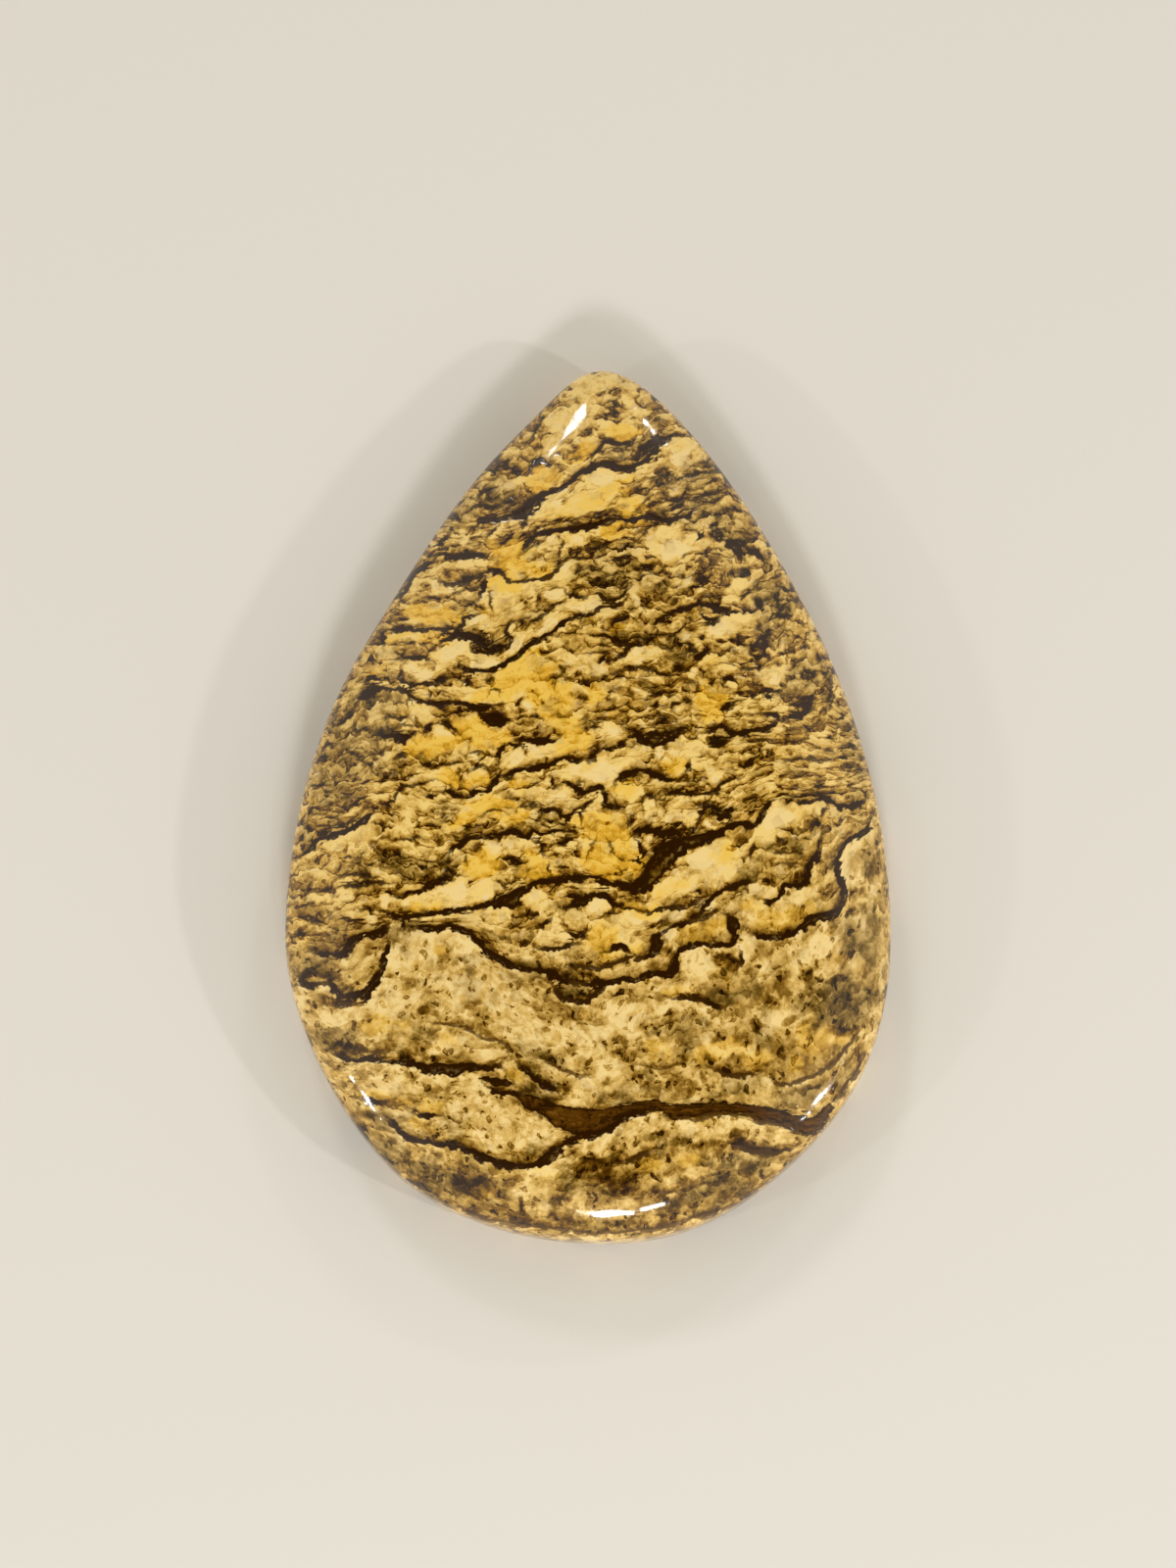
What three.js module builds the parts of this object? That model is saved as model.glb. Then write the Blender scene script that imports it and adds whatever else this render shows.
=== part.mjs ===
// Pear-shaped picture jasper: one solid stone, sawn from a slab, ground to a rounded
// edge and polished all over. It lies on its flat back with its low dome facing up.
//
// Millimetres, +Z up. The origin is the middle of the stone's bounding rectangle on
// the plane that it rests on, +Y points to the narrow tip and +X to the right of it.

import * as THREE from "three";

// Heights of the section, from the back to the top of the dome.
const BACK_ROUND_HEIGHT = 1.4; // the back's edge is rounded up to here
const WALL_TOP = 3.2; // the steep wall ends and the shoulder begins here
const SHOULDER_RISE = 3.2; // what the rounded shoulder adds
const DOME_RISE = 1.2; // what the low dome adds

// Run of the section, inwards from the girdle.
const BACK_ROUND_WIDTH = 1.2; // the back's edge is rounded in to here
const SHOULDER_POWER = 8; // a higher power makes a tighter shoulder
const SHOULDER_ROUND = 0.5; // 0.5 is a quarter of an ellipse where the shoulder meets the wall

// The dome's rings turn from the pear outline at the girdle to this oval at the top.
const CENTRE = new THREE.Vector2(0.2, -4.5);
const OVAL_HALF_WIDTH = 16.5;
const OVAL_HALF_LENGTH = 23.5;

// Fineness of the faceted surface.
const SPOKES = 132;
const DOME_RINGS = 17;
const WALL_RINGS = 2;
const BACK_RINGS = 5;

const STONE_COLOUR = 0xb9975f;
const STONE_ROUGHNESS = 0.18;

// Girdle outline, counter-clockwise from the tip: where the line passes, the heading
// in degrees that it passes with, and how far its curve reaches back and ahead.
const GIRDLE = [
  { name: "tip", x: 0.8, y: 30.0, heading: 180, back: 1.6, ahead: 1.5 },
  { name: "upper left flank", x: -5.6, y: 24.4, heading: 227, back: 5.2, ahead: 5.0 },
  { name: "middle left flank", x: -15.0, y: 10.2, heading: 240, back: 6.2, ahead: 6.6 },
  { name: "widest on the left", x: -20.0, y: -9.6, heading: 270, back: 7.0, ahead: 5.6 },
  { name: "lower left corner", x: -12.4, y: -25.6, heading: 318, back: 5.0, ahead: 3.6 },
  { name: "bottom", x: 1.0, y: -30.0, heading: 0, back: 6.0, ahead: 5.6 },
  { name: "lower right corner", x: 14.1, y: -24.1, heading: 44, back: 5.6, ahead: 6.0 },
  { name: "widest on the right", x: 20.0, y: -9.0, heading: 90, back: 6.4, ahead: 7.5 },
  { name: "middle right flank", x: 15.0, y: 12.2, heading: 115.5, back: 7.0, ahead: 6.0 },
  { name: "upper right flank", x: 5.6, y: 27.0, heading: 133, back: 5.4, ahead: 2.2 },
];

// The girdle as one closed path of smooth curves.
function girdlePath() {
  const path = new THREE.CurvePath();
  const step = (mark, length) => {
    const angle = THREE.MathUtils.degToRad(mark.heading);
    return new THREE.Vector2(
      mark.x + length * Math.cos(angle),
      mark.y + length * Math.sin(angle),
    );
  };
  GIRDLE.forEach((mark, i) => {
    const next = GIRDLE[(i + 1) % GIRDLE.length];
    path.add(
      new THREE.CubicBezierCurve(
        step(mark, 0),
        step(mark, mark.ahead),
        step(next, -next.back),
        step(next, 0),
      ),
    );
  });
  return path;
}

// One spoke for each point of the girdle: its direction from the centre, its length
// to the girdle and its length to the dome's oval.
function spokesOf(path) {
  return Array.from({ length: SPOKES }, (_, i) => {
    const arm = path.getPointAt(i / SPOKES).sub(CENTRE);
    const girdle = arm.length();
    const direction = arm.normalize();
    const oval =
      1 / Math.hypot(direction.x / OVAL_HALF_WIDTH, direction.y / OVAL_HALF_LENGTH);
    return { direction, girdle, oval };
  });
}

// Rings from the back's flat rim, up the wall and over the shoulder to the dome's top.
// Each is a height with a rule for how far along a spoke the ring lies.
function ringRules() {
  const rings = [];
  for (let i = 0; i <= BACK_RINGS; i += 1) {
    const turn = ((i / BACK_RINGS) * Math.PI) / 2;
    const inset = BACK_ROUND_WIDTH * (1 - Math.sin(turn));
    rings.push({
      z: BACK_ROUND_HEIGHT * (1 - Math.cos(turn)),
      reach: (spoke) => spoke.girdle - inset,
    });
  }
  for (let i = 1; i < WALL_RINGS; i += 1) {
    rings.push({
      z: THREE.MathUtils.lerp(BACK_ROUND_HEIGHT, WALL_TOP, i / WALL_RINGS),
      reach: (spoke) => spoke.girdle,
    });
  }
  for (let i = 0; i < DOME_RINGS; i += 1) {
    const share = Math.cos(((i / DOME_RINGS) * Math.PI) / 2); // 1 at the girdle, 0 on top
    rings.push({
      z: crownHeight(share),
      reach: (spoke) =>
        share * THREE.MathUtils.lerp(spoke.oval, spoke.girdle, share * share),
    });
  }
  return rings;
}

// Height of the shoulder and dome, for a share of the way from the top to the girdle.
function crownHeight(share) {
  const shoulder = (1 - share ** SHOULDER_POWER) ** SHOULDER_ROUND;
  return WALL_TOP + SHOULDER_RISE * shoulder + DOME_RISE * (1 - share * share);
}

// The closed skin: rings of points joined by triangles, with a point at each end.
function stoneGeometry() {
  const spokes = spokesOf(girdlePath());
  const rings = ringRules();
  const positions = [];
  rings.forEach(({ z, reach }) => {
    spokes.forEach((spoke) => {
      const r = reach(spoke);
      positions.push(CENTRE.x + r * spoke.direction.x, CENTRE.y + r * spoke.direction.y, z);
    });
  });
  const backMiddle = positions.length / 3;
  positions.push(CENTRE.x, CENTRE.y, 0);
  const domeTop = backMiddle + 1;
  positions.push(CENTRE.x, CENTRE.y, crownHeight(0));

  const faces = [];
  const last = (rings.length - 1) * SPOKES;
  for (let i = 0; i < SPOKES; i += 1) {
    const next = (i + 1) % SPOKES;
    faces.push(backMiddle, next, i);
    for (let base = 0; base < last; base += SPOKES) {
      faces.push(base + i, base + next, base + SPOKES + next);
      faces.push(base + i, base + SPOKES + next, base + SPOKES + i);
    }
    faces.push(last + i, last + next, domeTop);
  }

  const geometry = new THREE.BufferGeometry();
  geometry.setAttribute("position", new THREE.Float32BufferAttribute(positions, 3));
  geometry.setIndex(faces);
  geometry.computeVertexNormals();
  return geometry;
}

const polishedJasper = new THREE.MeshStandardMaterial({
  color: STONE_COLOUR,
  roughness: STONE_ROUGHNESS,
  metalness: 0,
});

const stone = new THREE.Mesh(stoneGeometry(), polishedJasper);
stone.name = "jasper_stone";

const pictureJasper = new THREE.Group();
pictureJasper.add(stone);

export default pictureJasper;
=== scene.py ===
"""Polished pear-shaped picture jasper, dressed around its one solid.

The stone is modelled from its solid's own mesh, finer and smooth. Its markings are drawn in
millimetres on the face: veins, tinted patches and the lines that the bedding follows. They
run down through the stone, and are stored on the mesh as a few fields that the finish
reads, together with its own grain, flakes and specks.
"""

from __future__ import annotations

import logging
import math
from dataclasses import dataclass, field
from enum import Enum

import bpy
import numpy as np
from mathutils import Matrix, Vector

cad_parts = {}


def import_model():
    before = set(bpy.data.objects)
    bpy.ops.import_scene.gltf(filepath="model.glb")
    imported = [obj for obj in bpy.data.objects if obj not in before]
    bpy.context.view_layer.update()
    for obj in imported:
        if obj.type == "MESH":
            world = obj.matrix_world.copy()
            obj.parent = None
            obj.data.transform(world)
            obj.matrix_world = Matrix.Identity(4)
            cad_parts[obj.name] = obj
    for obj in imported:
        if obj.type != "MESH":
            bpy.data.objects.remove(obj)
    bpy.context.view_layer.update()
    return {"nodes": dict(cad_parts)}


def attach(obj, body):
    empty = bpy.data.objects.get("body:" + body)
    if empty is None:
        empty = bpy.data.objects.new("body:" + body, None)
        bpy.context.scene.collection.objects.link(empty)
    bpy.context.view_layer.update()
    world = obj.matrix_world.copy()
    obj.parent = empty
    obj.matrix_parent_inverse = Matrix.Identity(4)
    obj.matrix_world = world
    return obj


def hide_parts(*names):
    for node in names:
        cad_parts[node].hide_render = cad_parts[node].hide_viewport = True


LOG = logging.getLogger("picture_jasper")
MM = 0.001  # metres in a millimetre
TINY = 1e-6  # keeps a division from meeting 0
STONE_NODE = "jasper_stone"

CHIP_SHAPE = 0.7  # a bright chip's width to its length
CHIP_STRENGTH = 1.6  # how strong its pale tint is
CHIP_FROM = (1.0, 1.25)  # the strength where a pale tint turns into a chip, and where it is one

Mark = tuple[float, ...]  # a place on the face: x, y and, where it differs, the width there
Colour = tuple[float, float, float, float]
Stops = tuple[tuple[float, Colour], ...]
Stretch = tuple[float, float, float]  # grains to the millimetre: across, up and inwards


# --- What the markings are made of --------------------------------------------------------


class VeinKind(Enum):
    """What fills a vein."""

    INK = "vein_gap"  # opaque, nearly black
    AMBER = "amber_gap"  # translucent red-brown


class Tint(Enum):
    """What a patch of the ground is tinted by, and its place in the tint fields."""

    PALE = 0
    OCHRE = 1
    DUSK = 2
    GREY = 3


@dataclass(frozen=True)
class Vein:
    """A vein drawn through marks on the face, from its left end to its right.

    Args:
        kind: What fills the vein.
        width: Its width in millimetres, wherever a mark gives no other.
        course: The marks that it runs through.
    """

    kind: VeinKind
    width: float
    course: tuple[Mark, ...]


@dataclass(frozen=True)
class Patch:
    """A soft oval patch of one tint.

    Args:
        tint: What it is tinted by.
        x: Its middle, to the right.
        y: Its middle, towards the tip.
        half_length: Half its length, in millimetres.
        half_width: Half its width, in millimetres.
        turn: How far its length is turned from +X, in degrees.
        strength: 1 where it is full, less where it is faint.
    """

    tint: Tint
    x: float
    y: float
    half_length: float
    half_width: float
    turn: float = 0.0
    strength: float = 1.0


@dataclass(frozen=True)
class Horizon:
    """A line that the bedding follows across the face.

    Args:
        level: Its place in the pile of beds, in millimetres.
        course: The marks that it runs through, from left to right.
    """

    level: float
    course: tuple[Mark, ...]


@dataclass(frozen=True)
class Wave:
    """A wave that bends what is drawn on the face.

    Args:
        height: How far it bends it, in millimetres.
        across: How fast it turns to the right, in radians to the millimetre.
        along: How fast it turns towards the tip.
        start: What it has turned by at the middle, in radians.
    """

    height: float
    across: float
    along: float
    start: float = 0.0


def blot(x: float, y: float, length: float, width: float, turn: float = 0.0) -> Vein:
    """Draw a dark blot as a short vein.

    Args:
        x: Its middle, to the right.
        y: Its middle, towards the tip.
        length: Its length, in millimetres.
        width: Its width, in millimetres.
        turn: How far its length is turned from +X, in degrees.

    Returns:
        The vein.
    """
    run = 0.5 * length * math.cos(math.radians(turn))
    rise = 0.5 * length * math.sin(math.radians(turn))
    return Vein(VeinKind.INK, width, ((x - run, y - rise), (x + run, y + rise)))


def chip(x: float, y: float, size: float, turn: float = 0.0) -> Patch:
    """Draw a bright chip as a small, strong pale patch.

    Args:
        x: Its middle, to the right.
        y: Its middle, towards the tip.
        size: Half its length, in millimetres.
        turn: How far its length is turned from +X, in degrees.

    Returns:
        The patch.
    """
    return Patch(Tint.PALE, x, y, size, size * CHIP_SHAPE, turn, CHIP_STRENGTH)


# --- Markings of the face, in millimetres: x to the right and y towards the tip -------------

# Each dark vein has its width and then its marks, from its left end to its right, so that the
# rock above it is the side that darkens towards it. A mark's third number is the width there.
INK_VEINS = (
    # The crown.
    (0.4, (-7.6, 17.1), (-7, 17.8), (-6.1, 17.95), (-5.1, 18.15), (-4.3, 18.25, 0.7), (-3.7, 18.9, 0.8),
     (-3, 19.65, 0.5), (-2, 20, 0.3), (-1.2, 20.4, 0.3), (-0.8, 20.9), (-0.3, 21.25), (0.4, 21.65, 0.5),
     (1.1, 21.85, 0.55), (1.9, 21.55, 0.6), (2.7, 21.5, 0.5), (3.8, 22), (4.5, 22.7, 0.5),
     (4.6, 23.3, 0.5), (5.3, 23.7, 0.45), (5.9, 23.95, 0.2), (6.8, 23.7)),
    (0.28, (0.1, 22), (0.7, 22.8), (1.2, 23.35), (2.2, 23.2), (3, 23.5), (3.5, 24)),
    (0.18, (1.2, 22.6), (1.8, 22.85), (3, 22.8)),
    (0.22, (3.2, 22.2), (3.7, 22.7), (4.3, 22.9)),
    (0.35, (-4.6, 15.3), (-4.3, 15.9), (-3.8, 16.5), (-3, 16.95), (-2.2, 17.05), (-1.1, 17.2),
     (0, 17.3, 0.42), (0.9, 17.6), (1.6, 17.9), (2.4, 17.85), (3, 17.8, 0.42), (4.1, 18.1), (5, 17.8),
     (6, 17.85), (6.9, 18.35), (7.6, 19)),
    (0.22, (5, 19.05), (5.7, 19.2), (6.4, 19.35), (7.2, 19.3), (8, 19.6), (8.9, 19.9)),
    (0.24, (5.6, 20.35), (6.1, 20.7), (6.7, 20.9), (7.8, 21.2), (8.9, 21.3), (9.2, 20.5)),
    (0.16, (4.2, 20.4), (4.8, 20.8), (5.3, 21.1)),
    (0.24, (-4.6, 23), (-3.7, 23.7), (-3.4, 24.5), (-2.9, 25.2)),
    (0.25, (-8.3, 18.2), (-7.4, 18.8), (-6.2, 18.75), (-5.3, 19.1)),
    (0.2, (-7.9, 19.4), (-6.9, 19.8), (-6.2, 20.1)),
    (0.26, (-5.8, 16), (-5.4, 16.4), (-5, 16.9)),
    (0.22, (-2.2, 14.9), (-1.8, 15.6), (-1.75, 16.2), (-1.9, 16.7)),
    (0.22, (-1.3, 15.25), (-0.6, 15), (0.1, 15.1), (0.5, 15.75), (1.2, 16.1), (1.7, 16.35),
     (2.6, 16.5)),
    (0.26, (3.4, 16.9), (4.1, 17.25), (4.7, 17.4)),
    (0.2, (-4.6, 15.1), (-4.2, 15.7), (-3.5, 16.1), (-2.9, 16.3)),
    (0.4, (-10.6, 15.3), (-9.7, 15.45), (-9.2, 15.2), (-8.2, 15.3, 0.5), (-7.2, 15.3, 0.5),
     (-6.5, 15.1)),
    (0.35, (-10.6, 15.9), (-10, 16.1), (-9.4, 16.7), (-9.2, 17)),
    (0.4, (3.5, 14.6), (4.1, 14.5), (4.6, 14.65)),
    (0.16, (2.9, 14.6), (3.4, 14.2), (3.5, 13.6)),
    (0.3, (-6.8, 16.6), (-6.4, 17), (-6, 17.4)),
    (0.25, (-3.6, 16.9), (-3.4, 17.25), (-3, 17.3)),
    (0.22, (3.1, 18.4), (3.4, 18.65), (3.6, 18.85)),
    (0.3, (1.2, 15), (2, 15.1), (2.8, 15.2)),
    (0.24, (-0.6, 14.2), (-0.5, 14.7)),
    (0.24, (3, 19.6), (3.4, 19.9), (3.9, 20.1)),
    (0.24, (3.8, 19), (4, 19.3), (4.2, 19.5)),
    (0.46, (5.4, 18.55), (6, 18.8), (6.5, 19.15)),
    (0.24, (7.1, 19.2), (7.6, 19.2), (8.1, 19.05), (8.6, 19.1), (9, 19.4)),
    (0.2, (6.4, 17.1), (7, 17.15), (7.5, 17.1)),
    (0.5, (7.65, 17), (7.45, 16.6), (7.3, 16.4)),
    (0.8, (9.2, 16.3), (9.8, 15.9), (10, 15.3)),
    (0.4, (10.3, 15.9), (10.8, 15.6), (11.3, 15.5), (11.9, 14.6)),
    (0.24, (6.3, 15.2), (6.7, 15.4)),
    (0.3, (9.6, 14.4), (9.45, 13.7)),
    (0.36, (-3.8, 21.5), (-3.5, 22), (-3.1, 22.1), (-2.75, 21.8)),
    (0.2, (-2.4, 22.4), (-2.05, 22.7), (-1.75, 22.4)),
    (0.26, (-1.4, 22.2), (-0.9, 22.2), (-0.5, 22.3)),
    (0.2, (-0.9, 25.2), (-0.75, 24.6)),
    (0.45, (3.9, 22.9), (4.4, 23.4), (4.9, 23.8)),
    # Above the middle.
    (0.28, (-10.3, 13.7), (-9.2, 13.35), (-8.2, 13.5), (-7.4, 13.85), (-6.7, 14.15), (-5.9, 14.1),
     (-5.1, 13.5), (-4.1, 13.6), (-3, 13.7), (-2.2, 14.1), (-1.9, 14.7), (-1.3, 15)),
    (0.34, (-7.3, 12.1), (-7.1, 12.7), (-6.9, 13.2), (-6.95, 14)),
    (0.25, (-6.35, 11.4), (-6.4, 11.9), (-6.5, 12.7)),
    (0.15, (-9.5, 12.1), (-9.2, 12.5), (-8.5, 12.8), (-7.7, 13), (-7.2, 13.2)),
    (0.15, (-8.5, 11.2), (-8.1, 11.6), (-7.5, 12.2)),
    (0.3, (-13.7, 10.2), (-13, 10.1), (-12, 10.15), (-11, 10.2), (-10.3, 10.25), (-9.5, 10.1),
     (-8.5, 10.3), (-8.1, 10.9), (-7.6, 11.15), (-6.9, 11.25)),
    (0.45, (-10.1, 8.95), (-9.5, 9.45), (-8.8, 9.75), (-8.1, 9.7, 0.6), (-7.4, 9.5, 0.6), (-7, 9.2)),
    (0.3, (-8, 9.2), (-7.4, 8.6), (-6.6, 8.5), (-5.7, 8.8), (-5.2, 9.4), (-5.4, 10.2), (-5.1, 10.7),
     (-4.5, 10.6)),
    (0.24, (-4, 10.4), (-3.2, 10.9), (-2.9, 11.3), (-2.2, 11.9), (-1.4, 12.1)),
    (0.33, (-8.8, 7.5), (-8.1, 7.35), (-7.2, 7.25), (-6.6, 7.3), (-5.7, 7.6), (-4.9, 8.2), (-4.2, 8.75),
     (-3.5, 9.4), (-2.6, 9.8), (-1.8, 10.4, 0.42), (-1.4, 10.8), (-0.8, 11.15), (-0.1, 11.2),
     (0.6, 11.3), (1.1, 11.6)),
    (0.4, (-8.3, 6.7), (-7.7, 6.4)),
    (0.32, (-12.6, 8.1, 0.6), (-12, 8.2), (-11.3, 8.1), (-10.6, 8.1), (-10.1, 7.9)),
    (0.4, (-13.6, 9), (-13.6, 9.9)),
    (0.3, (-12.4, 7.7), (-12.4, 6.8), (-12, 6.4), (-11.2, 6.3), (-10.3, 6.4), (-9.6, 6.75),
     (-8.8, 6.8)),
    (0.34, (-15.2, 6.6), (-14.3, 6.75), (-13.3, 6.7)),
    (0.3, (-15.3, 5.1, 0.55), (-14.7, 5.6, 0.6), (-14.1, 6, 0.5), (-13.6, 6), (-12.3, 5.9),
     (-11.6, 5.5), (-10.9, 5.1), (-9.9, 5), (-8.8, 5.1), (-7.8, 4.9, 0.45), (-7.1, 4.65, 0.5),
     (-6.4, 4.8), (-5.7, 4.95)),
    (0.45, (-7.3, 4.3), (-6.7, 3.9), (-6.1, 3.75, 0.6), (-5.6, 3.7, 0.5), (-5.1, 3.9)),
    (0.34, (-17, 3.7), (-16.5, 3.5), (-15.8, 4), (-15.3, 4.6), (-15.2, 5)),
    (0.3, (-10.2, 3.55), (-9.5, 3.7), (-8.8, 3.2), (-8.4, 2.8)),
    (0.4, (-13.6, 2.6), (-12.9, 2.8), (-12.3, 2.6, 0.6), (-11.8, 2.6, 0.5), (-11.4, 3)),
    (0.42, (-4.8, 2.5), (-4.1, 2.5), (-3.1, 2.45, 0.5), (-2.2, 2.5), (-1.8, 2.85)),
    (0.3, (0, 12.5), (0.8, 12.6), (1.4, 12.2), (2.1, 12.3), (2.7, 13), (2.9, 13.5)),
    (0.3, (0, 11.2), (0.5, 11.3), (0.9, 11.7), (1.5, 11.8), (2.2, 11.9), (2.7, 12.5)),
    (0.18, (0.2, 13.4), (0.7, 13.6), (1.5, 14.05), (2.3, 14.1)),
    (0.34, (1.6, 10.4), (2, 10.8), (2.6, 10.9), (2.8, 11.3)),
    (0.32, (4.4, 10.2), (4.9, 10.9), (5.5, 11.3), (6.3, 11.5), (7, 11.8), (7.7, 11.9),
     (8.4, 11.75, 0.42), (9, 11.45, 0.5), (9.8, 11.4, 0.42), (10.5, 11.35)),
    (0.34, (7.35, 11.6), (7.5, 11.1), (8.1, 10.85), (8.6, 10.95), (8.9, 11.4)),
    (0.32, (7.6, 10.4), (8.2, 10.6), (8.8, 10.9)),
    (0.18, (10.3, 12.3), (10.9, 12.9)),
    (0.3, (0, 9.8), (0.7, 9.7), (1.4, 9.55), (2.1, 9.25), (2.8, 9.05), (3.5, 9.1), (4.3, 9.35)),
    (0.28, (1.6, 7.85), (2.2, 8.2), (2.6, 8.6), (3, 8.8)),
    (0.42, (7.1, 8), (7.5, 8.4), (7.9, 8.5)),
    (0.22, (1.75, 7.1), (2.5, 7.35), (3.2, 7.35), (3.8, 7.45), (4.5, 7.2), (5.1, 6.9), (5.8, 7.3),
     (6.5, 7.4), (7, 7.55)),
    (0.25, (3.9, 5.95), (4.5, 5.6), (5.1, 5.7, 0.35)),
    (0.2, (6.2, 6.4), (6.7, 6.7), (7.3, 6.5)),
    (0.18, (8.6, 7.7), (9.3, 7.8), (10, 7.6)),
    (0.3, (11.7, 9.95), (12.3, 10)),
    (0.28, (11.2, 12.1), (11.3, 11.6)),
    (0.22, (13.4, 9), (13.7, 9.4)),
    (0.2, (9.6, 5.7), (10.4, 5.75), (11.3, 5.75), (12.1, 5.9), (12.8, 5.7)),
    (0.2, (9.95, 5.15), (10.6, 5.3)),
    (0.32, (2.6, 3.3, 0.45), (3.3, 2.95), (4.1, 2.9), (4.9, 2.95), (5.5, 3), (6.2, 3.3), (7, 3.45)),
    (0.32, (7.3, 2.9), (8, 3.1), (8.8, 3.4), (9.5, 3), (10.2, 2.95, 0.4), (10.9, 3.2), (11.6, 3.25),
     (12.2, 3.5), (12.5, 3.9), (12.2, 4.3), (11.6, 4.4, 0.18), (10.9, 4.4, 0.15)),
    (0.4, (0.6, 1.6), (0.8, 1.9), (1.5, 1.95), (2.2, 2.2), (2.8, 2.7)),
    (0.4, (2.9, 3.3, 0.5), (3.2, 2.8, 0.6), (3.6, 2.4, 0.5), (4.3, 2.2), (5, 2.4), (5.8, 2.8),
     (6.5, 3)),
    (0.22, (0.3, 3.8), (1, 4), (1.7, 3.9)),
    (0.36, (12.9, 3.8), (13.4, 4.1), (14, 4.1), (14.6, 4.5), (14.9, 4.9)),
    (0.32, (13, 5), (13.6, 4.8), (14.2, 4.9), (14.8, 5.3), (15.1, 5.9)),
    (0.25, (15.5, 4.5), (16.1, 4.9), (16.1, 5.9), (16, 6.7), (16.3, 7.2)),
    (0.32, (-13.2, 12.2), (-12.8, 12.3), (-12.2, 12.8), (-11.9, 13.5), (-11.4, 14.2), (-10.6, 14.7),
     (-10, 15.3, 0.5)),
    (0.2, (-6.55, 5.6), (-6.4, 5.9), (-6.2, 6.05), (-5.9, 5.9), (-5.8, 5.6)),
    (0.18, (-4.4, 5.45), (-4.65, 5), (-4.55, 4.55)),
    (0.24, (-3.4, 12.75), (-3.3, 12.3), (-3.4, 11.95)),
    (0.3, (-3.1, 9.35), (-2.6, 9.7), (-2.2, 9.85)),
    (0.18, (-12, 5.35), (-11.9, 4.7)),
    (0.3, (5.1, 4.75), (5.5, 4.9), (6, 5), (6.4, 5.3)),
    (0.2, (7.3, 6.5), (7.2, 6.1), (7.1, 5.8)),
    (0.36, (9, 6.3), (9.2, 6.7), (9.6, 6.75), (9.9, 6.5), (9.95, 6.2)),
    (0.38, (9, 4.3), (9, 4.7), (9.3, 4.95), (9.8, 5.1)),
    (0.36, (7.8, 2.4), (8.3, 2.1), (8.9, 2.25), (9.5, 2.5)),
    (0.16, (10.3, 2.45), (11, 2.5), (12.1, 2.55)),
    (0.32, (-1.6, 12.9), (-1.1, 12.6), (-0.5, 12.45), (0.1, 12.5)),
    (0.16, (-3, 12.95), (-2.2, 13.05), (-1.6, 12.95)),
    (0.2, (1.8, 13.1), (2.4, 13.3), (2.8, 13.7)),
    (0.22, (3.8, 12.1), (3.8, 11.5)),
    (0.24, (8.85, 13.95), (8.85, 13.4)),
    (0.25, (-13.5, 4), (-12.9, 4.15), (-12.2, 4), (-11.8, 4.4)),
    (0.2, (-12.6, 3.3), (-12, 3.5), (-11.3, 3.4)),
    (0.25, (-15.3, 3.2), (-14.8, 3.35), (-14.4, 3)),
    (0.3, (12.6, 11.1), (13, 11), (13.5, 11.1)),
    (0.24, (11.3, 10.6), (11.4, 10.2), (11.7, 10.1)),
    (0.32, (10.8, 9), (10.85, 8.4), (11.3, 8.1), (11.7, 8.5), (11.9, 9), (11.6, 9.4), (11.1, 9.4)),
    (0.24, (9.9, 7.5), (10.6, 7.35), (11.3, 7.4), (11.9, 7.6)),
    (0.45, (7.4, 8.3), (7.8, 8.5), (7.9, 8.9)),
    (0.2, (4.3, 9.35), (5, 8.9), (5.6, 8.6)),
    (0.2, (-0.2, 8.5), (0.6, 8.55), (1.5, 8.5)),
    # The middle.
    (0.24, (12.5, 1.2), (13.6, 1.2), (14.4, 1.3), (15.2, 1.15), (16.2, 1.2)),
    (0.33, (-5.8, 0.6), (-5.9, 1.1), (-5.8, 1.7), (-5.5, 2.2), (-5, 2.2), (-4.4, 2), (-4.1, 1.6)),
    (0.35, (-6.4, 0.3, 0.2), (-5.7, 0.1, 0.25), (-4.9, 0.3), (-4.2, 0.6), (-3.4, 0.6), (-2.6, 0.75),
     (-1.9, 1.15), (-1.5, 1.3), (-0.9, 1.15), (-0.2, 1.1, 0.2), (0.4, 1.25, 0.25), (0.6, 1.7),
     (1.1, 2)),
    (0.36, (-10, -1.05), (-9.3, -1.05), (-8.8, -1.2), (-8, -1.35), (-7.3, -1.05), (-6.6, -0.95),
     (-6.2, -0.5, 0.42), (-5.9, 0.1, 0.42), (-5.9, 0.8)),
    (0.24, (-13.7, -1.75), (-13.1, -1.85, 0.35), (-12.7, -1.35), (-12.1, -0.75), (-11.2, -0.5),
     (-10.7, -0.4), (-10, -0.15)),
    (0.25, (-10, 0.7), (-9.2, 0.85), (-8.5, 1), (-7.9, 1.1)),
    (0.28, (-11, 0.75), (-10.5, 0.8), (-10.1, 0.6)),
    (0.25, (-7.8, 0.3), (-7.6, 0.65), (-7, 0.7), (-6.5, 0.5)),
    (0.24, (-7.9, 1.55), (-7.3, 1.65), (-6.8, 1.55)),
    (0.22, (-17.7, -3.35), (-17.2, -3.25), (-16.1, -3.1), (-15.5, -2.9), (-15, -2.5)),
    (0.4, (-19, -5.6), (-18.5, -5.25), (-18.1, -4.8), (-17.8, -4.35, 0.5), (-17.2, -4.1, 0.5),
     (-16.6, -3.95), (-16, -3.75), (-15.4, -3.5), (-14.9, -3.1), (-14.5, -2.8), (-14, -2.4),
     (-13.8, -2.1)),
    (0.26, (-12.5, -4.3), (-11.8, -4.1), (-11.1, -4.05), (-10.7, -4.2)),
    (0.34, (-9.4, -5.4), (-8.9, -4.8), (-8.4, -4.7, 0.42), (-7.9, -4.2), (-7.4, -4.1), (-6.9, -3.95),
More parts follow.
